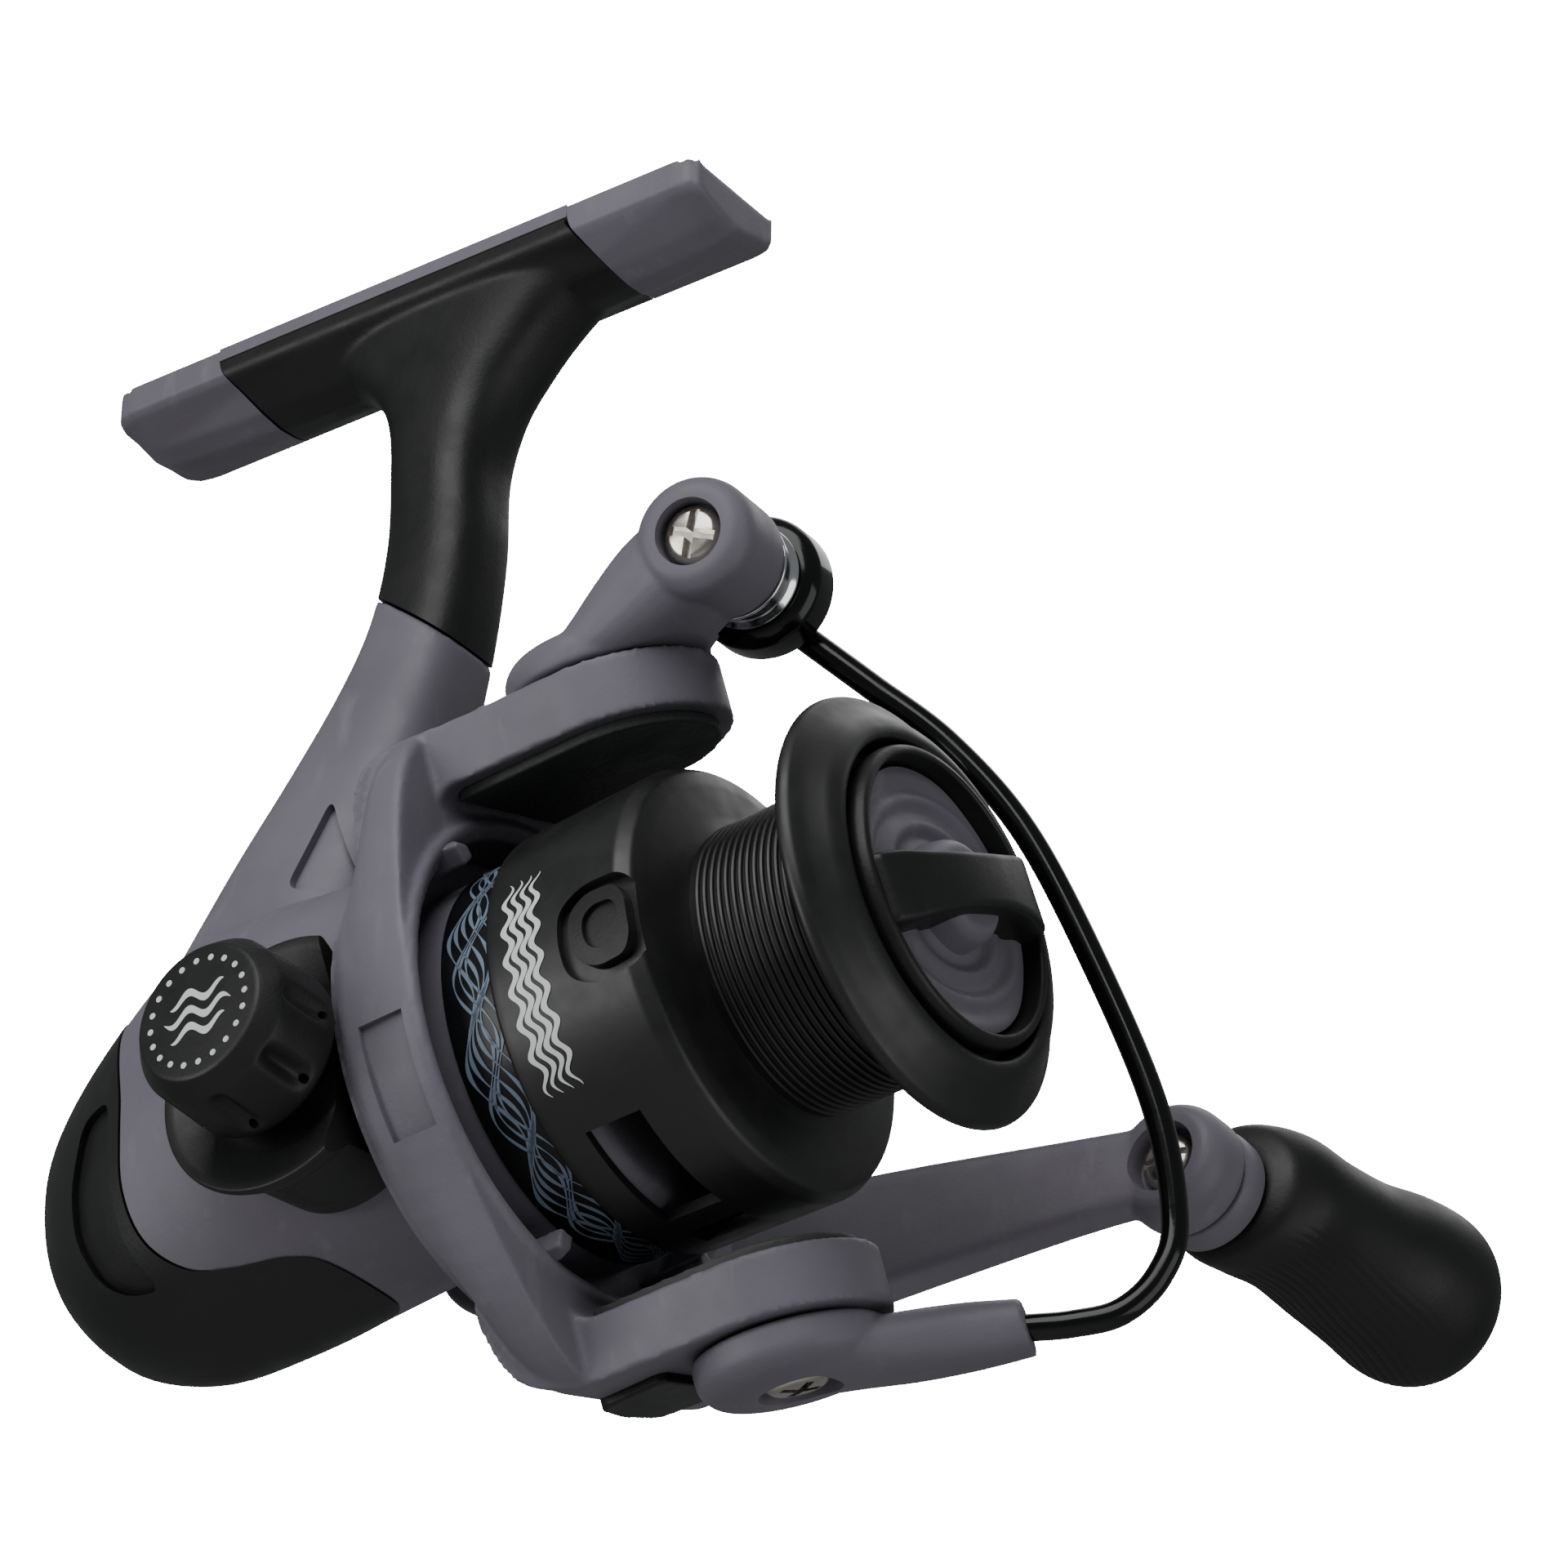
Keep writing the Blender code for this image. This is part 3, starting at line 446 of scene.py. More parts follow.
def body_shape(inset=0.0, n=96):
    """The gearbox: boxy on the cap side, narrower and rounder below on the handle side."""
    rings = []
    for x, half, top, bottom in smooth_rows(BODY_STATIONS, 5):
        mid, tall, wide = 0.5 * (top + bottom), 0.5 * (top - bottom) - inset, half - inset
        if wide < 0.8:
            break
        ring = []
        for i in range(n):
            c, s = math.cos(2 * math.pi * i / n), math.sin(2 * math.pi * i / n)
            power = 1.15 if c > 0 > s else 0.85
            reach = wide * (0.8 if c > 0 else 1.0)
            ring.append(Vector((min(max(x, -90.8 + inset), -46.2 - inset),
                                reach * math.copysign(abs(c) ** power, c),
                                mid + tall * math.copysign(abs(s) ** power, s))))
        rings.append(ring)
    rings.append([Vector((-91.2 + inset, 0.0, 2.5))])
    return skin(rings)


def stem_shape(inset=0.0, n=64):
    """The stem: a column that spreads into the gearbox and up to the foot."""
    rings = []
    for z, back, front, half in smooth_rows(STEM_STATIONS, 5):
        mid, long, wide = 0.5 * (back + front), 0.5 * (front - back) - inset, half - inset
        ring = []
        for i in range(n):
            c, s = math.cos(2 * math.pi * i / n), math.sin(2 * math.pi * i / n)
            ring.append(Vector((mid + long * math.copysign(abs(c) ** 0.72, c),
                                wide * math.copysign(abs(s) ** 0.72, s), z)))
        rings.append(ring)
    return skin(rings)


def foot_shape(inset=0.0):
    """The foot: a flat seat with a shallow keel below it."""
    rings = []
    for x, wide, keel in FOOT_STATIONS:
        w = FOOT_WIDE * wide - inset
        half = [(4.2, -inset), (w - 0.6, -inset), (w, 0.5 - inset), (w, -2.4 + inset),
                (w - 0.7, -3.0 + inset), (0.35 * w, -0.9 * keel + inset), (0.0, -keel + inset)]
        right = [Vector((math.copysign(abs(x) - inset, x), y, z)) for y, z in half]
        left = [Vector((v.x, -v.y, v.z)) for v in reversed(right[:-1])]
        rings.append(right + left)
    return skin(rings)


COVER_CURVE = [(-84.0, 27.0), (-79.0, 21.5), (-75.4, 14.0), (-73.6, 6.0), (-73.6, 1.0), (-74.1, -4.4),
               (-73.2, -9.2), (-70.3, -12.2), (-66.0, -13.3), (-61.0, -13.7), (-57.8, -14.5), (-55.4, -17.0),
               (-53.0, -24.0)]
SPLIT_Y = 11.0
SEAM_BACK = Vector((-7.0, -29.5))
SEAM_FRONT = Vector((9.0, -42.7))
CRANK_LINE = along((CRANK_X, 0.0, CRANK_Z), (0, 1, 0), SPOOL)


def cover_region(grow):
    """The rear cover's outline seen from the side, grown outwards by grow."""
    curve = smooth_rows(COVER_CURVE, 6)
    outline = [(x + grow, z + (grow if z < 0 else -grow) * 0.5) for x, z in curve]
    return prism([(-99.0, 30.0)] + outline + [(-99.0, -30.0)], -40, 40)


def crescent_region():
    """A crescent that follows the rear of the cover."""
    rear_edge = [(-75.2, 5.2), (-79.2, 5.0), (-81.3, -0.5), (-81.7, -5.5), (-80.2, -9.8), (-77.4, -12.0)]
    front_edge = [(-73.6, -12.9), (-75.3, -9.4), (-75.9, -4.0), (-75.3, 0.5)]
    return rounded_loop(rear_edge + front_edge, 1.6, 6)


def gearbox_blank():
    """Gearbox and lower stem in one; the stem's side pockets and the crank's seat are added later."""
    blank = solid(body_shape(), SPOOL)
    drop = Vector((0.0, SEAM))
    below = [(-60, -90), Vector((-60, SEAM_BACK.y)) - drop, SEAM_BACK - drop, SEAM_FRONT - drop,
             Vector((40, SEAM_FRONT.y)) - drop, (40, -90)]
    lower_stem = keep(solid(stem_shape()), solid(prism(below, -30, 30)))
    join(blank, lower_stem)
    melt(blank, 0.38, 8)
    return blank


def stem_pocket(side):
    """A shallow rounded triangle on one side of the lower stem."""
    outline = rounded_loop([(-3.9, -56.0), (-0.6, -67.0), (-7.4, -65.4)], 1.6, 6)
    pocket = solid(prism(outline, side * 2.0, side * 20.0))
    return cut(pocket, solid(stem_shape(0.8)))


def rotor_room():
    """Everything ahead of the plane that the gearbox's side pieces stop at, to leave the rotor clear."""
    return solid(slab(-46.5, -20, -60, 60, -60, 60), SPOOL)


def make_gearbox():
    blank = gearbox_blank()
    full = blank.copy()
    full.data = blank.data.copy()
    bpy.context.scene.collection.objects.link(full)
    cut(blank, stem_pocket(-1), stem_pocket(1))
    cover_room = cut(solid(cover_region(0.0), SPOOL), solid(body_shape(1.2), SPOOL))
    cut(blank, cover_room)
    plate = keep(full, solid(slab(-95, -40, SPLIT_Y + SEAM, 30, -30, 18.7), SPOOL))
    cut(plate, cut(solid(cover_region(0.0), SPOOL), solid(body_shape(1.2), SPOOL)))
    cut(blank, solid(slab(-95, -46.0, SPLIT_Y, 30, -30, 19.0), SPOOL))
    boss = solid(turned([(11.4, 0.0), (11.4, 8.8), (24.6, 7.6), (25.8, 6.6), (25.8, 0.0)], 0.8), CRANK_LINE)
    cut(boss, rotor_room())
    join(plate, boss)
    cut(plate, solid(rod(10.0, 40.0, 3.3, 48), CRANK_LINE))
    cut(blank, solid(rod(-47.5, -40.0, 14.2, 96), SPOOL))
    piece(blank, "gearbox_and_lower_stem", GREY, "frame", "body_housing")
    piece(plate, "gearbox_side_plate", GREY, "frame", "side_plate")

    nose = solid(turned([(-47.4, 0.0), (-47.4, 15.6), (-39.0, 15.6), (-36.5, 11.0), (-30.2, 11.0),
                         (-30.2, 8.4), (-33.0, 8.4), (-33.0, 0.0)], 0.5), SPOOL)
    piece(nose, "gearbox_nose", GREY, "frame")

    cover = keep(solid(body_shape(-0.12), SPOOL), solid(cover_region(-SEAM), SPOOL))
    cut(cover, solid(body_shape(1.1), SPOOL))
    for side in (-1, 1):
        groove = solid(prism(crescent_region(), side * 3.0, side * 30.0), SPOOL)
        cut(cover, cut(groove, solid(body_shape(0.65), SPOOL)))
    piece(cover, "rear_cover_shell", BLACK, "frame", "rear_cover")


def make_foot():
    """Grey foot ends and the black sleeve that wraps the upper stem and the middle of the foot."""
    ends = solid(foot_shape())
    melt(ends, 0.3, 5)
    middle = prism(rounded_loop([(-21.2, 4.0), (-21.2, -1.6), (-15.4, -12.0), (25.6, -12.0), (19.8, -1.4),
                                 (19.8, 4.0)], 1.5), -12, 12)
    cut(ends, cut(solid(middle), solid(foot_shape(0.9))))
    strip = [(-21.2, 2.0), (-21.2, -0.9), (19.8, -0.9), (19.8, 2.0)]
    join(ends, keep(solid(foot_shape()), solid(prism(strip, -12, 12))))
    piece(ends, "foot_ends", GREY, "frame")

    sleeve = join(solid(foot_shape()), keep(solid(stem_shape()), solid(slab(-60, 40, -30, 30, -48, -2.6))))
    melt(sleeve, 0.32, 10)
    side_view = [(-21.0, -1.1), (-21.0, -1.8), (-15.6, -10.5), (-20.0, -22.0), (-12.0, -29.0), SEAM_BACK,
                 SEAM_FRONT, (30.0, -42.7), (30.0, -14.0), (25.2, -10.5), (19.6, -1.6), (19.6, -1.1)]
    keep(sleeve, solid(prism(rounded_loop(side_view, 0.8), -14, 14)))
    piece(sleeve, "stem_and_foot_sleeve", BLACK, "frame", "stem_sleeve")


# ---------------------------------------------------------------- crank line
def cap_ring(y, r, scallop, n=192, flutes=8):
    """One ring of the crank cap, pinched where the finger flutes are."""
    ring = []
    for k in range(n):
        a = 2 * math.pi * k / n
        dip = max(0.0, math.cos(flutes * a)) ** 2.2
        ring.append(Vector((y, (r - scallop * dip) * math.cos(a), (r - scallop * dip) * math.sin(a))))
    return ring


def make_cap():
    rows = [(-22.9, 6.6, 0.0), (-23.1, 7.0, 0.0), (-23.9, 7.8, 0.0), (-24.3, 7.95, 0.0), (-25.0, 8.0, 0.1),
            (-26.0, 8.0, 0.75), (-28.0, 7.95, 0.95), (-29.6, 7.9, 0.85), (-30.6, 7.8, 0.3),
            (-31.1, 7.6, 0.05), (-32.3, 6.7, 0.0), (-32.6, 6.4, 0.0), (-32.7, 6.0, 0.0)]
    rings = [cap_ring(*row) for row in smooth_rows(rows, 3)]
    rings.insert(0, [Vector((-22.9, 0.0, 0.0))])
    rings.append([Vector((-32.75, 0.0, 0.0))])
    cap = solid(skin(rings), CRANK_LINE)
    for k in range(8):
        a = 2 * math.pi * k / 8
        out = Vector((0.0, math.cos(a), math.sin(a)))
        pin = along(Vector((-25.3, 0.0, 0.0)) + 8.3 * out, out, CRANK_LINE)
        cut(cap, solid(rod(-1.4, 1.0, 0.42, 16), pin))
    piece(cap, "crank_side_cap", BLACK, "crank", "crank_cap")
    make_cap_mark()


def ribbon(path_a, path_b, lift):
    """A thin raised strip between two paths of points, raised along lift(point)."""
    rings = []
    for a, b in zip(path_a, path_b):
        a, b = Vector(a), Vector(b)
        up_a, up_b = lift(a), lift(b)
        rings.append([a, b, b + up_b, a + up_a])
    return skin(rings)


def make_cap_mark():
    """Plain decoration for the cap's face: a dotted ring round three ripples."""
    def raised(_):
        return Vector((-0.08, 0.0, 0.0))
    shapes = []
    for row in (-1, 0, 1):
        reach = 3.6 - 0.7 * abs(row)
        line = [(t, 1.7 * row + 0.55 * math.sin(t * 1.75)) for t in
                [-reach + 2 * reach * k / 40 for k in range(41)]]
        wide = [0.36 * (1.0 - (t / reach) ** 4) + 0.03 for t, _ in line]
        shapes.append(ribbon([(-32.68, t, z - w) for (t, z), w in zip(line, wide)],
                             [(-32.68, t, z + w) for (t, z), w in zip(line, wide)], raised))
    for k in range(20):
        a = 2 * math.pi * k / 20
        dot = arc(5.1 * math.cos(a), 5.1 * math.sin(a), 0.30, 0, 342, 19)
        shapes.append(prism(dot, -32.68, -32.77, "yz"))
    mark = None
    for bm in shapes:
        bmesh.ops.recalc_face_normals(bm, faces=bm.faces)
        obj = solid(bm, CRANK_LINE)
        mark = obj if mark is None else join(mark, obj)
    piece(mark, "crank_cap_ripple_mark", SILVER_PRINT, "crank")


def make_crank():
    """The bearing dish, fluted cap, shaft, tapered arm, knob axle and knob."""
    dish = solid(turned([(-11.0, 3.2), (-11.0, 9.2), (-19.0, 10.2), (-20.6, 11.6), (-21.8, 12.2),
                         (-22.4, 12.1), (-22.3, 11.2), (-21.2, 9.0), (-20.6, 7.6), (-20.5, 3.2)], 0.5),
                 CRANK_LINE)
    cut(dish, rotor_room())
    piece(dish, "crank_bearing_dish", BLACK, "frame", "bearing_collar")
    make_cap()
    shaft = solid(turned([(-19.2, 0.0), (-19.2, 2.9), (30.4, 2.9), (30.4, 0.0)], 0.3, 48), CRANK_LINE)
    piece(shaft, "crank_shaft", NICKEL, "crank", "drive_shaft")

    root = Vector((CRANK_X, CRANK_ROOT_Y, CRANK_Z))
    facing = (KNOB_AT - root).cross(Vector((0, 0, 1))).normalized()
    rows = [(-0.05, 2.2, 12.4, 4.2), (0.0, 2.2, 13.8, 4.4), (0.15, 2.1, 14.2, 4.4), (0.46, 1.9, 12.0, 4.1),
            (0.8, 1.1, 9.0, 3.7), (1.0, 0.3, 7.8, 3.6)]
    rings = []
    for t, lift, tall, thick in smooth_rows(rows, 4):
        middle = root.lerp(KNOB_AT, t) + Vector((0.0, 0.0, lift))
        outline = rounded_loop([(-thick / 2, -tall / 2), (thick / 2, -tall / 2), (thick / 2, tall / 2),
                                (-thick / 2, tall / 2)], 1.3, 4)
        rings.append([middle + facing * a + Vector((0, 0, b)) for a, b in outline])
    crank = solid(skin(rings), SPOOL)
    tip_line = along(KNOB_AT, (0, 1, 0), SPOOL)
    join(crank, solid(turned([(30.8, 0.0), (30.8, 6.6), (38.6, 6.4), (38.6, 0.0)], 0.9, 96), CRANK_LINE),
         solid(turned([(-2.8, 0.0), (-2.8, 4.9), (-1.2, 5.8), (2.7, 5.8), (2.7, 0.0)], 0.9, 96), tip_line))
    melt(crank, 0.26, 5)
    cut(crank, solid(turned([(-4.0, 0.0), (-4.0, 3.5), (-0.7, 3.3), (-0.7, 0.0)], 0.2, 64), tip_line),
        solid(turned([(30.0, 0.0), (30.0, 3.0), (33.0, 3.0), (33.0, 0.0)], 0.2, 48), CRANK_LINE))
    piece(crank, "crank_handle_arm", GREY, "crank", "crank_arm")
    screw = solid(turned([(-0.6, 0.0), (-0.6, 2.7), (-1.5, 2.7), (-2.2, 2.1), (-2.5, 0.0)], 0.5, 64),
                  tip_line)
    cut(screw, solid(slab(-3.0, -1.9, -0.35, 0.35, -4, 4), tip_line),
        solid(slab(-3.0, -1.9, -4, 4, -0.35, 0.35), tip_line))
    piece(screw, "knob_axle_head", NICKEL, "crank", "knob_screw")
    collar = solid(turned([(2.9, 0.0), (2.9, 5.5), (4.2, 5.7), (5.9, 5.6), (6.1, 5.0), (6.1, 0.0)], 0.4, 96),
                   tip_line)
    piece(collar, "handle_knob_collar", GREY, "knob", "knob_collar")
    make_knob()


KNOB_STATIONS = [
    # distance out, shift forward, rise, half length along X, half height
    (6.3, 0.4, 0.4, 4.4, 4.4),
    (6.6, 0.6, 0.5, 5.7, 5.7),
    (7.8, 1.3, 0.5, 6.9, 6.9),
    (11.0, 2.4, 0.5, 7.5, 7.1),
    (16.0, 3.0, 0.5, 7.3, 6.7),
    (22.0, 3.4, 0.4, 7.7, 7.1),
    (28.0, 4.2, 0.4, 8.4, 8.0),
    (33.0, 4.4, 0.2, 8.6, 8.4),
    (36.4, 4.3, 0.0, 7.3, 7.2),
    (38.0, 4.2, 0.0, 4.9, 4.9),
    (38.6, 4.2, 0.0, 1.8, 1.8),
]


def make_knob(n=432, flutes=54):
    """The bent rubber grip, with fine grooves that sweep along its lower side."""
    rings = []
    for reach, shift, rise, long, tall in smooth_rows(KNOB_STATIONS, 8):
        fade = min(1.0, max(0.0, (reach - 9.0) / 3.0)) * min(1.0, max(0.0, (37.0 - reach) / 5.0))
        ring = []
        for k in range(n):
            a = 2 * math.pi * k / n
            turn = a + 0.022 * (reach - 9.0)
            lower = max(0.0, math.cos(turn - math.radians(245.0)))
            groove = 0.26 * fade * lower ** 1.2 * max(0.0, math.sin(flutes * turn))
            ring.append(KNOB_AT + Vector((shift + (long - groove) * math.cos(a), reach,
                                          rise + (tall - groove) * math.sin(a))))
        rings.append(ring)
    piece(solid(skin(rings), SPOOL), "rubber_handle_knob", RUBBER, "knob", "handle_knob", sharp=80.0)


# ---------------------------------------------------------------- rotor
def half_turn(side):
    return ROTOR @ Matrix.Rotation(math.pi * side, 4, "X")


def hinge_line(base):
    return along((HINGE_X, 0.0, 0.0), (0, 0, 1), base)


def shoulder_outline():
    """The rotor seen along its axis: flat arm tops that run down into the round drum."""
    start, bend, end = Vector((9.0, ARM_OUT)), Vector((16.1, ARM_OUT)), Vector((22.6, 6.06))
    upper = [Vector((y, ARM_OUT)) for y in (0.0, 3.0, 6.0)]
    for k in range(17):
        t = k / 16
        upper.append((1 - t) ** 2 * start + 2 * t * (1 - t) * bend + t ** 2 * end)
    upper += [Vector(spot) for spot in arc(0.0, 0.0, DRUM_R, 10, 0, 2)]
    right = upper + [Vector((v.x, -v.y)) for v in reversed(upper[:-1])]
    return right + [Vector((-v.x, v.y)) for v in reversed(right[1:-1])]


def rotor_shoulders():
    """The broad roots of the two arms, swept round the drum."""
    rises = ((-45.0, -0.02), (-44.4, 0.06), (-43.4, 0.30), (-42.4, 0.58), (-41.4, 0.80), (-40.2, 0.94),
             (-38.8, 1.0), (-37.2, 1.0), (-36.6, 0.94))
    low = DRUM_R - 0.4
    rings = []
    for x, rise in rises:
        ring = [v.normalized() * (low + rise * (v.length - low)) for v in shoulder_outline()]
        rings.append([Vector((x, *v)) for v in ring])
    return cut(solid(skin(rings), ROTOR), solid(rod(-50.0, -30.0, 21.3, 192), ROTOR))


def rotor_blank():
    """The drum with its two arms and their broad roots, before its edges are softened."""
    drum = turned([(-29.4, 3.2), (-26.9, 3.2), (-26.9, 16.8), (-28.0, BARREL_R), (-41.3, BARREL_R),
                   (-41.3, 21.2), (-36.8, 21.5), (-36.0, 22.2), (-36.0, 23.0), (-37.0, 23.4),
                   (-43.6, DRUM_R), (-45.4, 22.4), (-45.6, 21.2), (-44.0, 20.6), (-43.8, 16.6),
                   (-29.4, 16.6)], 0.35, 192)
    rotor = solid(drum, ROTOR)
    side_view = rounded_loop([(-45.0, 20.9), (-43.5, 23.6), (-43.2, 25.8), (-41.8, 28.8), (-38.6, ARM_OUT),
                              (-10.0, ARM_OUT), (-10.0, ARM_IN + 0.8), (-11.2, ARM_IN), (-35.4, ARM_IN),
                              (-36.6, 23.6), (-36.8, 21.6), (-40.0, 20.9)], 1.6, 5)
    plan_view = (arc(HINGE_X, 0.0, ARM_END_R, 90, -90, 40)
                 + [(-34.0, -ARM_END_R - 0.3), (-38.0, -10.6), (-42.0, -13.0), (-50.0, -17.0), (-50.0, 17.0),
                    (-42.0, 13.0), (-38.0, 10.6), (-34.0, ARM_END_R + 0.3)])
    for side in (0, 1):
        arm = solid(prism(side_view, -18, 18), half_turn(side))
        keep(arm, solid(prism(plan_view, 15, 40, "xy"), half_turn(side)))
        join(rotor, arm)
    return join(rotor, rotor_shoulders())


def curved_block(x0, x1, r0, r1, a0, a1, base, n=24):
    """A block between two radii and two angles round the spool axis; angles from +Z towards -Y."""
    rings = []
    for k in range(n + 1):
        a = math.radians(a0 + (a1 - a0) * k / n)
        out = Vector((0.0, -math.sin(a), math.cos(a)))
        rings.append([Vector((x, 0, 0)) + out * r for x, r in ((x0, r0), (x1, r0), (x1, r1), (x0, r1))])
    return solid(skin(rings), base)


def make_rotor():
    rotor = rotor_blank()
    melt(rotor, 0.3, 4)
    for start, end in ((82.5, 108.5), (-97.5, -71.5)):
        cut(rotor, curved_block(-42.2, -37.6, DRUM_R - 0.55, DRUM_R + 3, start, end, ROTOR))
    for side in (0, 1):
        cut(rotor, solid(rod(20, 34, 2.1, 48), hinge_line(half_turn(side))))
    path_of_cap = [(-50.0, 22.75), (-44.55, 22.75), (-43.6, 23.75), (-43.6, 34.0), (-50.0, 34.0)]
    cut(rotor, solid(lathe(path_of_cap, 192), ROTOR))
    piece(rotor, "rotor_with_arms", GREY, "rotor", "rotor", sharp=50.0)

    for side, arm in ((0, "bail"), (1, "lever")):
        base = half_turn(side)
        plan = arc(HINGE_X, 0.0, 8.2, 90, -90, 32) + [(-35.8, -8.2), (-35.8, 8.2)]
        lining = solid(prism(plan, 23.6, ARM_IN + 0.1, "xy"), base)
        melt(lining, 0.2, 4)
        piece(lining, f"{arm}_arm_inner_lining", TEXTURED, "rotor", f"{arm}_arm_lining", sharp=60.0)
        plate = rounded_loop([(-40.4, 0), (-39.6, -4.8), (-32.2, -5.4), (-32.2, 5.4), (-39.6, 4.8)], 1.2, 5)
        root_cover = solid(prism(plate, ARM_OUT - 0.3, ARM_OUT + 0.9, "xy"), base)
        melt(root_cover, 0.2, 4)
        piece(root_cover, f"{arm}_arm_root_cover", BLACK, "rotor", f"{arm}_arm_cover", sharp=60.0)
        for sign in (-1, 1):
            wedge = curved_block(-41.2, -34.6, 20.3, 22.4, sign * 30.0, sign * 34.4, base)
            cut(wedge, solid(prism([(-34.0, 18.2), (-34.0, 23.0), (-40.4, 23.0)], -40, 40), base))
            melt(wedge, 0.2, 3)
            piece(wedge, f"{arm}_arm_wedge_{'left' if sign > 0 else 'right'}", GREY, "rotor", sharp=60.0)
        make_pivot_screw(arm, base, 32.6 if side == 0 else 33.3, "rotor")
    make_wave_band()


def make_pivot_screw(arm, base, height, body):
    """A low cross-headed screw in the middle of a bail pivot."""
    line = hinge_line(base)
    screw = solid(turned([(24.0, 0.0), (24.0, 1.7), (height, 1.7), (height, 3.3), (height + 0.9, 3.2),
                          (height + 1.5, 2.4), (height + 1.7, 0.0)], 0.3, 64), line)
    for turn in (0.5, 0.5 + math.pi / 2):
        slot = slab(height + 0.7, height + 3, -0.4, 0.4, -1.9, 1.9)
        cut(screw, solid(slot, line @ Matrix.Rotation(turn, 4, "X")))
    piece(screw, f"{arm}_pivot_screw_head", NICKEL, body, f"{arm}_pivot_screw")


def make_wave_band():
    """The black printed film round the rotor's barrel, with pale crossing waves."""
    film = solid(lathe([(-36.6, BARREL_R), (-36.6, BARREL_R + 0.18), (-28.6, BARREL_R + 0.18),
                        (-28.6, BARREL_R)], 192), ROTOR)
    piece(film, "printed_band_film", FILM, "rotor", "rotor_band")
    middle, radius, steps = -33.3, BARREL_R + 0.17, 720

    def strip(centre, swing, waves, phase, width):
        path_a, path_b = [], []
        for k in range(steps + 1):
            a = 2 * math.pi * k / steps
            x = middle + centre + swing * math.sin(waves * a + phase)
            w = width * (0.65 + 0.35 * math.sin(3 * waves * a + 2 * phase))
            for path, off in ((path_a, -w), (path_b, w)):
                path.append(Vector((x + off, radius * math.cos(a), radius * math.sin(a))))
        return path_a, path_b
    bm = bmesh.new()
    lines = [(-1.3 + 0.66 * i, 1.2, 9, 0.45 * i, 0.21) for i in range(5)]
    lines += [(-0.7 + 0.70 * i, 1.3, 9, math.pi + 0.9 + 0.3 * i, 0.17) for i in range(3)]
    for line in lines:
        path_a, path_b = strip(*line)
        for i in range(steps):
            quad = [path_a[i], path_b[i], path_b[i + 1], path_a[i + 1]]
            lifted = [Vector((p.x, p.y * 1.0025, p.z * 1.0025)) for p in quad]
            bm.faces.new([bm.verts.new(p) for p in lifted])
    piece(printed(bm, ROTOR), "printed_band_waves", PRINT, "rotor", sharp=60.0)


# ---------------------------------------------------------------- bail
ROLLER_OUT = Vector((-7.0, -8.0, 37.2))
ROLLER_DIR = Vector((-0.18, 0.98, -0.08)).normalized()
ROLLER_LINE = along(ROLLER_OUT, ROLLER_DIR, ROTOR)
DISC_LOW = ARM_OUT + 0.3
WIRE_R = 1.2
WIRE_POINTS = [(-10.2, 10.9, 33.0), (-8.0, 12.0, 29.7), (-5.0, 13.5, 25.2), (-0.5, 15.7, 18.3),
               (3.5, 17.3, 8.8), (6.2, 17.8, -4.1), (8.2, 17.6, -18.7), (7.7, 16.4, -29.1),
               (5.7, 14.7, -33.6), (2.4, 12.5, -35.9), (-1.2, 10.2, -35.9), (-4.6, 8.3, -35.2)]


def oval_rings(rows, across, up, n=32, power=0.8):
    """Rings of ovals: rows of (x, y, z, half width along across, half height along up)."""
    rings = []
    for x, y, z, wide, tall in smooth_rows(rows, 6):
        ring = []
        for k in range(n):
            c, s = math.cos(2 * math.pi * k / n), math.sin(2 * math.pi * k / n)
            ring.append(Vector((x, y, z)) + across * wide * math.copysign(abs(c) ** power, c)
                        + up * tall * math.copysign(abs(s) ** power, s))
        rings.append(ring)
    return skin(rings)


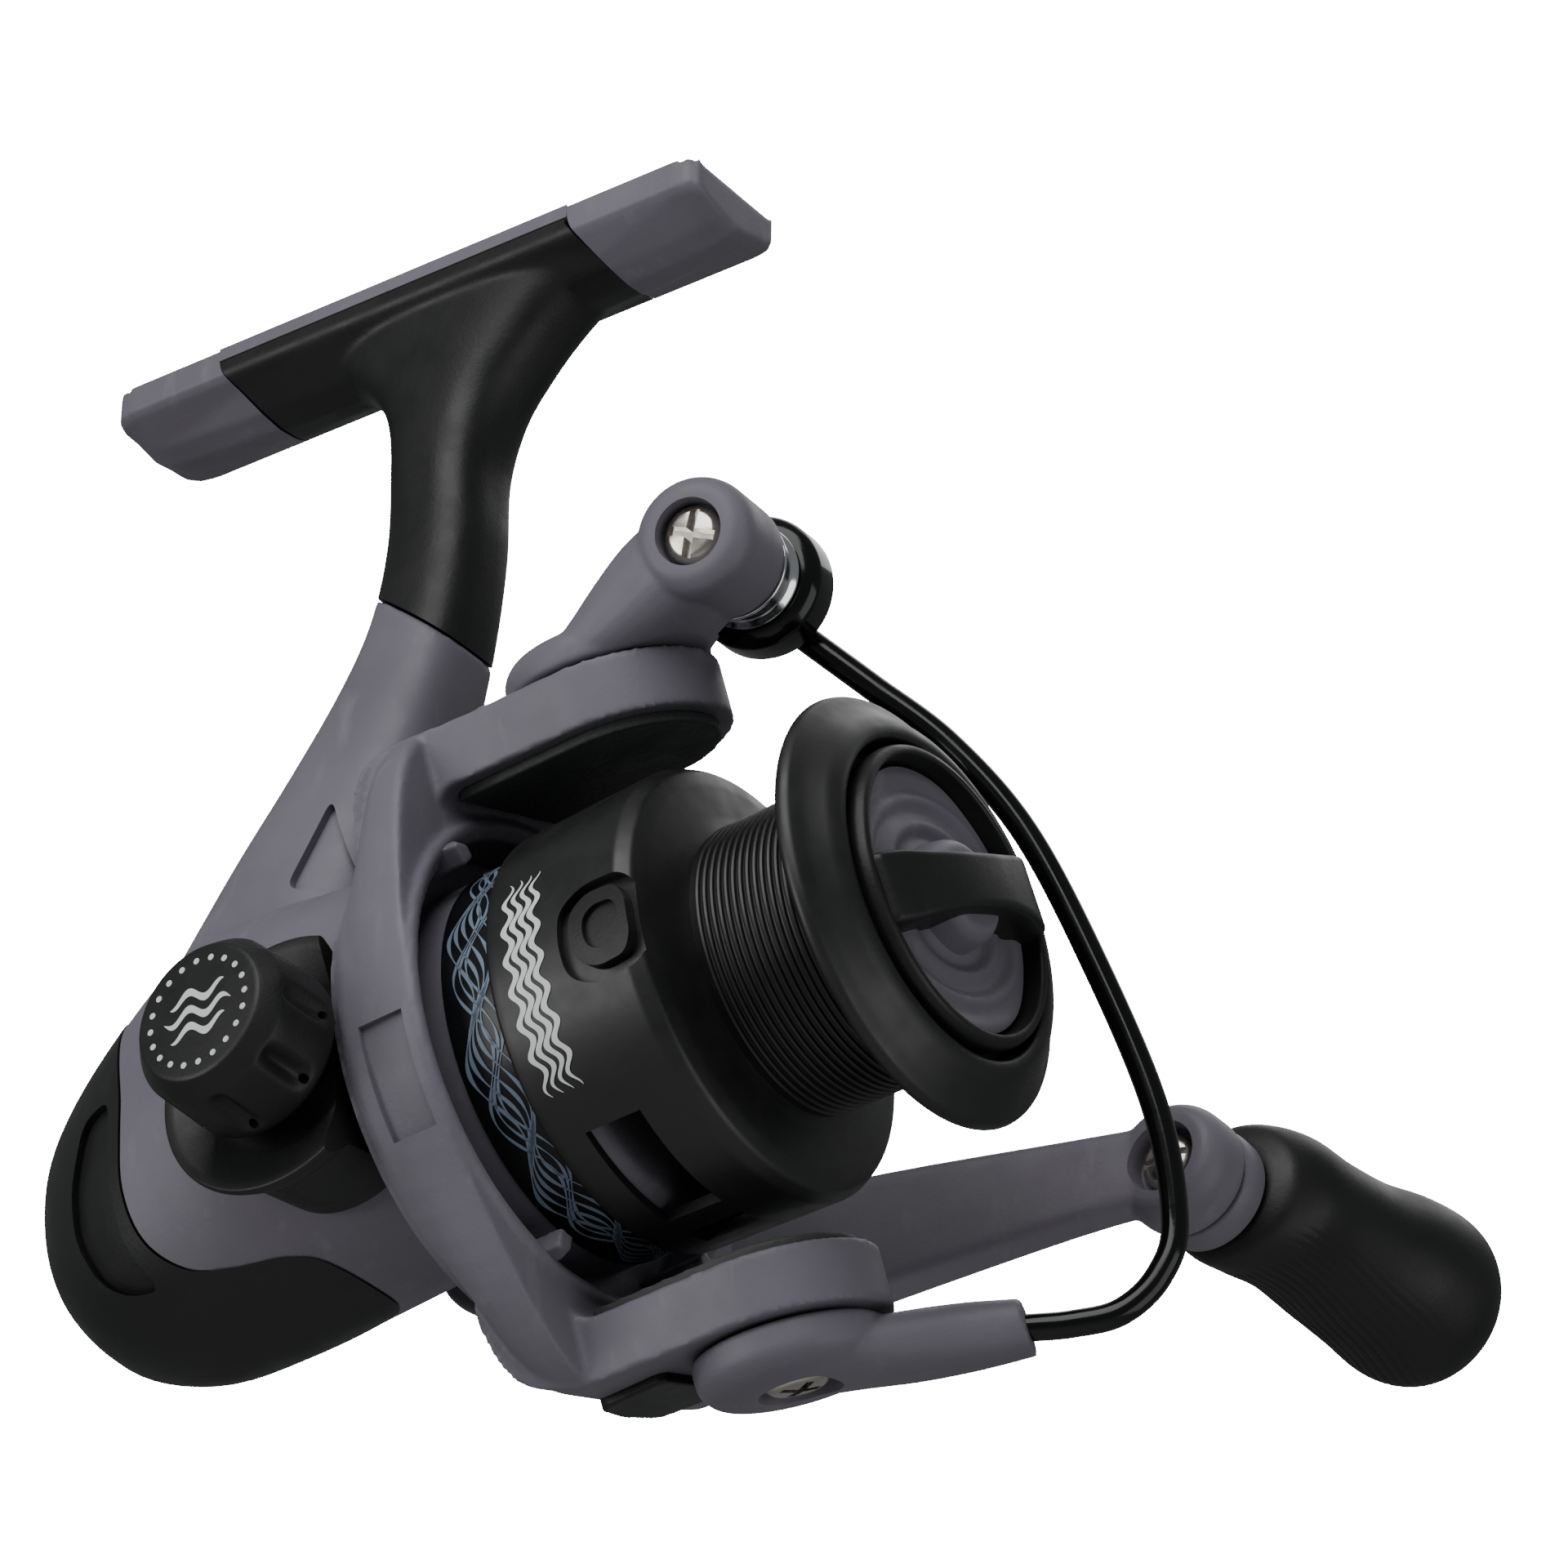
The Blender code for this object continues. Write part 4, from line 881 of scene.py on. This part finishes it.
def make_bail():
    """The arm over the first hinge, its roller, the cone behind the roller and the wire."""
    disc = [(DISC_LOW, 0.0), (DISC_LOW, 9.2), (32.6, 9.2), (33.9, 8.2), (34.2, 5.4), (34.2, 0.0)]
    arm = solid(turned(disc, 0.7, 128), hinge_line(ROTOR))
    neck = oval_rings([(-24.5, 0.0, 31.0, 8.8, 2.4), (-20.5, -0.5, 32.2, 8.2, 3.6),
                       (-16.5, -1.6, 33.8, 7.0, 4.6), (-12.6, -2.6, 35.4, 6.0, 5.1),
                       (-8.6, -3.6, 36.8, 5.0, 4.9)],
                      Vector((0.0, 1.0, 0.0)), Vector((-0.55, 0.0, 0.83)))
    knuckle = turned([(-0.2, 0.0), (-0.2, 4.1), (0.7, 5.2), (1.6, 5.5), (8.4, 5.4), (9.5, 4.8), (9.5, 0.0)],
                     0.6, 96)
    join(arm, solid(neck, ROTOR), solid(knuckle, ROLLER_LINE))
    cut(arm, solid(slab(-50, 10, -30, 30, 15, DISC_LOW), ROTOR))
    melt(arm, 0.24, 6)
    cut(arm, solid(turned([(-3.0, 0.0), (-3.0, 3.2), (1.9, 3.0), (1.9, 0.0)], 0.2, 96), ROLLER_LINE),
        solid(rod(9.62, 20.0, 6.2, 64), ROLLER_LINE),
        solid(turned([(32.2, 0.0), (32.2, 3.7), (60.0, 3.7), (60.0, 0.0)], 0.2, 64), hinge_line(ROTOR)))
    piece(arm, "bail_roller_arm", GREY, "bail", "bail_arm", sharp=60.0)

    screw = solid(turned([(2.1, 0.0), (2.1, 2.75), (0.9, 2.7), (0.3, 2.0), (0.1, 0.0)], 0.35, 96),
                  ROLLER_LINE)
    for turn in (0.35, 0.35 + math.pi / 2):
        slot = slab(-0.8, 1.0, -0.42, 0.42, -2.2, 2.2)
        cut(screw, solid(slot, ROLLER_LINE @ Matrix.Rotation(turn, 4, "X")))
    piece(screw, "roller_screw_head", NICKEL, "bail", "roller_screw")

    roller = solid(turned([(9.8, 2.5), (9.8, 4.9), (10.1, 4.95), (10.7, 4.4), (12.3, 4.35), (12.9, 4.8),
                           (13.2, 4.8), (13.2, 2.5)], 0.25, 128), ROLLER_LINE)
    piece(roller, "line_guide_roller", CHROME, "roller", "line_roller")
    core = solid(lathe([(9.7, 1.6), (9.7, 2.3), (13.3, 2.3), (13.3, 1.6)], 48), ROLLER_LINE)
    piece(core, "roller_inner_bush", BRASS, "bail", "roller_bush")
    cone = solid(turned([(13.5, 0.0), (13.5, 4.9), (14.0, 5.7), (14.7, 6.15), (17.8, 6.15), (18.1, 5.7),
                         (18.9, 5.4), (19.4, 4.4), (19.5, 0.0)], 0.35, 128), ROLLER_LINE)
    piece(cone, "bail_wire_cone", GLOSSY, "bail", "bail_cone")
    wire = solid(pipe(smooth_rows(WIRE_POINTS, 12), WIRE_R, 28), ROTOR)
    piece(wire, "bail_wire_loop", GLOSSY, "bail", "bail_wire", sharp=80.0)
    make_lever()


def make_lever():
    """The plain pivot arm that holds the bail wire's lower end."""
    base = half_turn(1)
    disc = [(DISC_LOW, 0.0), (DISC_LOW, 8.6), (33.2, 8.6), (34.5, 7.4), (34.9, 4.6), (34.9, 0.0)]
    lever = solid(turned(disc, 0.7, 128), hinge_line(base))
    bar = oval_rings([(-26.0, 0.0, 32.4, 7.4, 1.9), (-20.0, -2.0, 33.0, 6.4, 2.4),
                      (-14.0, -4.6, 33.8, 4.8, 2.9), (-9.0, -6.6, 34.5, 3.4, 2.9),
                      (-4.4, -8.3, 35.2, 2.6, 2.5)],
                     Vector((0.38, 0.92, 0.0)), Vector((0.0, 0.0, 1.0)))
    join(lever, solid(bar, base))
    cut(lever, solid(slab(-50, 10, -30, 30, 15, DISC_LOW), base))
    melt(lever, 0.24, 6)
    cut(lever, solid(turned([(33.0, 0.0), (33.0, 3.7), (60.0, 3.7), (60.0, 0.0)], 0.2, 64),
                     hinge_line(base)))
    piece(lever, "bail_lever_arm", GREY, "bail", "bail_lever", sharp=60.0)


# ---------------------------------------------------------------- spool and drag
def skirt_frame(degrees):
    """The spool frame turned so that +Z points to an angle measured from +Z towards -Y."""
    return SPOOL @ Matrix.Rotation(math.radians(degrees), 4, "X")


def spool_profile():
    """The spool's section, with fine grooves round the arbor."""
    ribs = []
    count, first, last = 14, -13.4, -3.0
    pitch = (last - first) / count
    for k in range(count):
        x = first + pitch * k
        ribs += [(x, ARBOR_R + 0.12), (x + pitch * 0.28, ARBOR_R + 0.20), (x + pitch * 0.52, ARBOR_R + 0.12),
                 (x + pitch * 0.66, ARBOR_R - 0.12), (x + pitch * 0.86, ARBOR_R - 0.12)]
    back = rounded([(SKIRT_BACK, 18.7), (SKIRT_BACK, 19.45), (-30.2, 19.6), (-16.9, SKIRT_R - 0.05),
                    (SKIRT_FRONT, 19.4), (-15.0, 17.8), (-14.4, 14.4), (-14.0, ARBOR_R)], 0.35, 4)
    front = rounded([(-2.4, ARBOR_R), (-1.9, 14.8), (-1.2, 17.6), (-0.7, 19.4), (-0.1, LIP_R), (0.7, 19.6),
                     (1.5, 18.3), (2.3, 17.4), (3.1, 16.6), (3.6, 15.6), (3.5, 14.7), (2.0, 14.4)], 0.5, 4)
    inside = [(0.4, 14.4), (0.4, 9.7), (-6.2, 9.7), (-6.2, 1.9), (-8.4, 1.9), (-8.4, 11.4), (-17.2, 11.4),
              (-17.2, 18.7)]
    return back + ribs + front + inside


# where the line clip sits round the skirt, in degrees
CLIP_TURN = 99.5


def make_spool():
    spool = solid(lathe(spool_profile(), 240), SPOOL)
    room = [(-23.4, 0.0), (-23.0, 3.2), (-20.4, 4.7), (-16.2, 4.5), (-14.9, 2.4), (-14.9, -2.4),
            (-16.2, -4.5), (-20.4, -4.7), (-23.0, -3.2)]
    recess = cut(solid(prism(rounded_loop(room, 1.8, 6), 15.0, 25.0, "xy"), skirt_frame(CLIP_TURN)),
                 solid(rod(-33.0, -12.0, 18.98, 160), SPOOL))
    cut(spool, recess)
    for centre, half_angle, x0, x1 in ((163.0, 17.5, -27.4, -21.6), (193.5, 4.6, -27.4, -21.6)):
        cut(spool, curved_block(x0, x1, 15.0, 24.0, centre - half_angle, centre + half_angle, SPOOL))
    piece(spool, "spool_with_skirt", SATIN, "spool", "spool", sharp=32.0)

    button = [(-22.0, 0.0), (-21.6, 2.2), (-19.8, 3.5), (-16.8, 3.3), (-15.9, 1.8), (-15.9, -1.8),
              (-16.8, -3.3), (-19.8, -3.5), (-21.6, -2.2)]
    button = rounded_loop(button, 1.2, 6)
    dome = rod(-33.0, -12.0, SKIRT_R + 0.15, 200)
    clip = keep(solid(prism(button, 18.5, 22.0, "xy"), skirt_frame(CLIP_TURN)), solid(dome, SPOOL))
    hollow = [(0.62 * (x + 18.7) - 18.5, 0.6 * y) for x, y in button]
    cut(clip, cut(solid(prism(hollow, 18.0, 24.0, "xy"), skirt_frame(CLIP_TURN)),
                  solid(rod(-33.0, -12.0, 19.75, 200), SPOOL)))
    piece(clip, "line_clip_button", BLACK, "spool", "line_clip")
    make_skirt_ripples()
    make_drag_knob()


def make_skirt_ripples(first=74.0, last=134.0, steps=240):
    """Plain silver ripples printed along the skirt."""
    bm = bmesh.new()
    for row in range(4):
        edges = ([], [])
        for k in range(steps + 1):
            t = k / steps
            a = math.radians(first + (last - first) * t)
            x = -28.4 + 0.95 * row + 0.42 * math.sin(2 * math.pi * 7.0 * t + 0.5 * row)
            wide = 0.30 * (1.0 - (2.0 * t - 1.0) ** 6) + 0.02
            for path, off in zip(edges, (-wide, wide)):
                r = 19.64 + 0.034 * (x + off + 30.2)
                path.append(Vector((x + off, -r * math.sin(a), r * math.cos(a))))
        for i in range(steps):
            quad = (edges[0][i], edges[1][i], edges[1][i + 1], edges[0][i + 1])
            bm.faces.new([bm.verts.new(p) for p in quad])
    piece(printed(bm, SPOOL), "skirt_ripple_print", SILVER_PRINT, "spool", sharp=60.0)


# the frame of the drag knob's grip bar: its Y axis runs along the bar
BAR = SPOOL @ Matrix.Rotation(math.radians(26.0), 4, "X")


def make_drag_knob():
    """The black dished knob with its grip bar, two grey inserts and a grey hub."""
    ring = solid(turned([(0.9, 0.0), (0.9, 13.2), (2.2, 13.7), (3.6, 13.95), (4.5, 13.6), (4.6, 12.8),
                         (2.2, 12.5), (2.2, 0.0)], 0.45, 200), SPOOL)
    # y along the bar, half width, top
    rows = [(-13.0, 3.0, 4.5), (-12.7, 3.3, 5.1), (-12.0, 3.4, 5.5), (-10.4, 3.4, 6.1), (-8.0, 3.1, 6.95),
            (-4.0, 2.8, 7.75), (0.0, 2.7, 8.0), (4.0, 2.8, 7.75), (8.0, 3.2, 6.95), (10.4, 3.6, 6.1),
            (12.0, 3.8, 5.5), (12.7, 3.7, 5.1), (13.0, 3.4, 4.5)]
    rings = []
    for y, half, top in smooth_rows(rows, 8):
        outline = rounded_loop([(1.6, -half), (top, -0.92 * half), (top, 0.92 * half), (1.6, half)], 0.7, 6)
        rings.append([Vector((x, y, z)) for x, z in outline])
    join(ring, solid(skin(rings), BAR))
    piece(ring, "drag_knob_body", BLACK, "drag_knob", "drag_knob", sharp=45.0)
    for side, name in ((1, "upper"), (-1, "lower")):
        make_insert(side, f"knob_insert_{name}")
    hub = solid(turned([(2.0, 0.0), (2.0, 5.2), (5.2, 4.7), (6.1, 4.0), (6.1, 0.0)], 0.6, 96), BAR)
    piece(hub, "drag_knob_hub", GREY, "drag_knob", sharp=60.0)


def make_insert(side, node, rows=46, columns=120):
    """A grey half-moon with ripples running round the hub beside the grip bar."""
    base = BAR @ Matrix.Rotation(0.0 if side > 0 else math.pi, 4, "X")
    edge, inner = 12.2, 2.2
    grid = []
    for i in range(rows + 1):
        row = []
        for j in range(columns + 1):
            a = math.radians(-76.0 + 152.0 * j / columns)
            reach = i / rows
            far = Vector((edge * math.sin(a), edge * math.cos(a)))
            near = Vector((edge * 0.95 * math.sin(a) * 0.985, inner))
            y, z = near.lerp(far, reach)
            d = math.hypot(y * 0.82, (z - inner) * 1.25)
            ripple = 0.24 * math.cos(d * 2.15)
            rim = min(1.0, 5.0 * (edge - math.hypot(y, z)) / edge + 0.25)
            row.append((y, z, 2.95 + ripple * rim))
        grid.append(row)
    bm = bmesh.new()
    top = [[bm.verts.new((x, y, z)) for y, z, x in row] for row in grid]
    low = [[bm.verts.new((1.9, y, z)) for y, z, _ in row] for row in grid]
    for i in range(rows):
        for j in range(columns):
            bm.faces.new((top[i][j], top[i + 1][j], top[i + 1][j + 1], top[i][j + 1]))
            bm.faces.new((low[i][j], low[i][j + 1], low[i + 1][j + 1], low[i + 1][j]))
    for j in range(columns):
        bm.faces.new((top[0][j], top[0][j + 1], low[0][j + 1], low[0][j]))
        bm.faces.new((top[rows][j], low[rows][j], low[rows][j + 1], top[rows][j + 1]))
    for i in range(rows):
        bm.faces.new((top[i][0], low[i][0], low[i + 1][0], top[i + 1][0]))
        bm.faces.new((top[i][columns], top[i + 1][columns], low[i + 1][columns], low[i][columns]))
    bmesh.ops.recalc_face_normals(bm, faces=bm.faces)
    piece(solid(bm, base), f"rippled_{node}", GREY, "drag_knob", node, sharp=60.0)


# ---------------------------------------------------------------- inner pieces kept from the CAD
INNER_LOOKS = {
    NICKEL: ("drive_bearing_left", "drive_bearing_right", "cap_screw", "pinion_bearing", "main_shaft",
             "oscillation_pin", "guide_rod", "drag_disc_1", "drag_disc_2", "drag_disc_3", "washer_ring"),
    BRASS: ("pinion", "clutch_plate", "spool_seat", "drag_nut"),
    ZINC: ("drive_gear", "drive_cog", "one_way_clutch", "oscillation_gear", "shaft_slider", "rotor_nut",
           "click_ratchet"),
    FELT: ("drag_felt_1", "drag_felt_2", "drag_felt_3"),
}


def paint_inner_pieces():
    for material, nodes in INNER_LOOKS.items():
        for node in nodes:
            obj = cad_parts[node]
            for slot in obj.material_slots:
                slot.material = material


# ---------------------------------------------------------------- light, floor and camera
def soft_light(name, spot, aim, size, power):
    lamp = bpy.data.lights.new(name, "AREA")
    lamp.size = size
    lamp.energy = power
    obj = bpy.data.objects.new(name, lamp)
    obj.location = spot
    obj.rotation_euler = (Vector(aim) - Vector(spot)).to_track_quat("-Z", "Y").to_euler()
    bpy.context.scene.collection.objects.link(obj)


CAMERA_AT = Vector((0.39468, -0.48449, -0.44670))
CAMERA_RIGHT = Vector((0.81357, 0.58120, 0.01628))
CAMERA_BACK = Vector((0.49814, -0.68230, -0.53514))
MIDDLE = Vector((0.010, 0.005, -0.065))


def make_camera():
    lens = bpy.data.cameras.new("camera")
    lens.lens = 187.5
    lens.sensor_width = 36.0
    lens.clip_start = 0.05
    obj = bpy.data.objects.new("camera", lens)
    back = CAMERA_BACK.normalized()
    right = (CAMERA_RIGHT - back * CAMERA_RIGHT.dot(back)).normalized()
    up = back.cross(right)
    obj.matrix_world = Matrix.Translation(CAMERA_AT) @ Matrix((right, up, back)).transposed().to_4x4()
    bpy.context.scene.collection.objects.link(obj)
    bpy.context.scene.camera = obj
    return right, up, back


def make_floor():
    bm = bmesh.new()
    bmesh.ops.create_grid(bm, x_segments=8, y_segments=8, size=3.0)
    mesh = bpy.data.meshes.new("studio_floor")
    bm.to_mesh(mesh)
    bm.free()
    floor = bpy.data.objects.new("studio_floor", mesh)
    floor.location = (0.0, 0.0, -0.80)
    bpy.context.scene.collection.objects.link(floor)
    mesh.materials.append(moulded("pale_studio_floor", (0.82, 0.82, 0.81), 0.8, grain=0.05, cloud=0.01))


def make_world():
    """White for the eye, dimmer as a light, so that dark plastic keeps its depth."""
    world = bpy.data.worlds.new("studio")
    bpy.context.scene.world = world
    world.use_nodes = True
    tree = world.node_tree
    seen = tree.nodes["Background"]
    seen.inputs["Color"].default_value = (1.0, 1.0, 1.0, 1.0)
    seen.inputs["Strength"].default_value = 18.0
    ambient = tree.nodes.new("ShaderNodeBackground")
    ambient.inputs["Color"].default_value = (0.95, 0.97, 1.0, 1.0)
    ambient.inputs["Strength"].default_value = 0.17
    paths = tree.nodes.new("ShaderNodeLightPath")
    blend = tree.nodes.new("ShaderNodeMixShader")
    link(tree, paths.outputs["Is Camera Ray"], blend.inputs["Fac"])
    link(tree, ambient.outputs["Background"], blend.inputs[1])
    link(tree, seen.outputs["Background"], blend.inputs[2])
    link(tree, blend.outputs["Shader"], tree.nodes["World Output"].inputs["Surface"])


def make_studio():
    right, up, back = make_camera()
    make_floor()
    make_world()
    soft_light("key", MIDDLE + up * 0.55 - right * 0.15 + back * 0.25, MIDDLE, 0.55, 3.7)
    soft_light("side", MIDDLE - right * 0.60 + up * 0.10 + back * 0.30, MIDDLE, 0.40, 1.9)
    soft_light("fill", MIDDLE + right * 0.55 - up * 0.10 + back * 0.40, MIDDLE, 0.50, 1.2)
    soft_light("rim", MIDDLE - back * 0.50 + up * 0.30 + right * 0.2, MIDDLE, 0.45, 1.0)


make_gearbox()
make_foot()
make_crank()
make_rotor()
make_bail()
make_spool()
paint_inner_pieces()
make_studio()
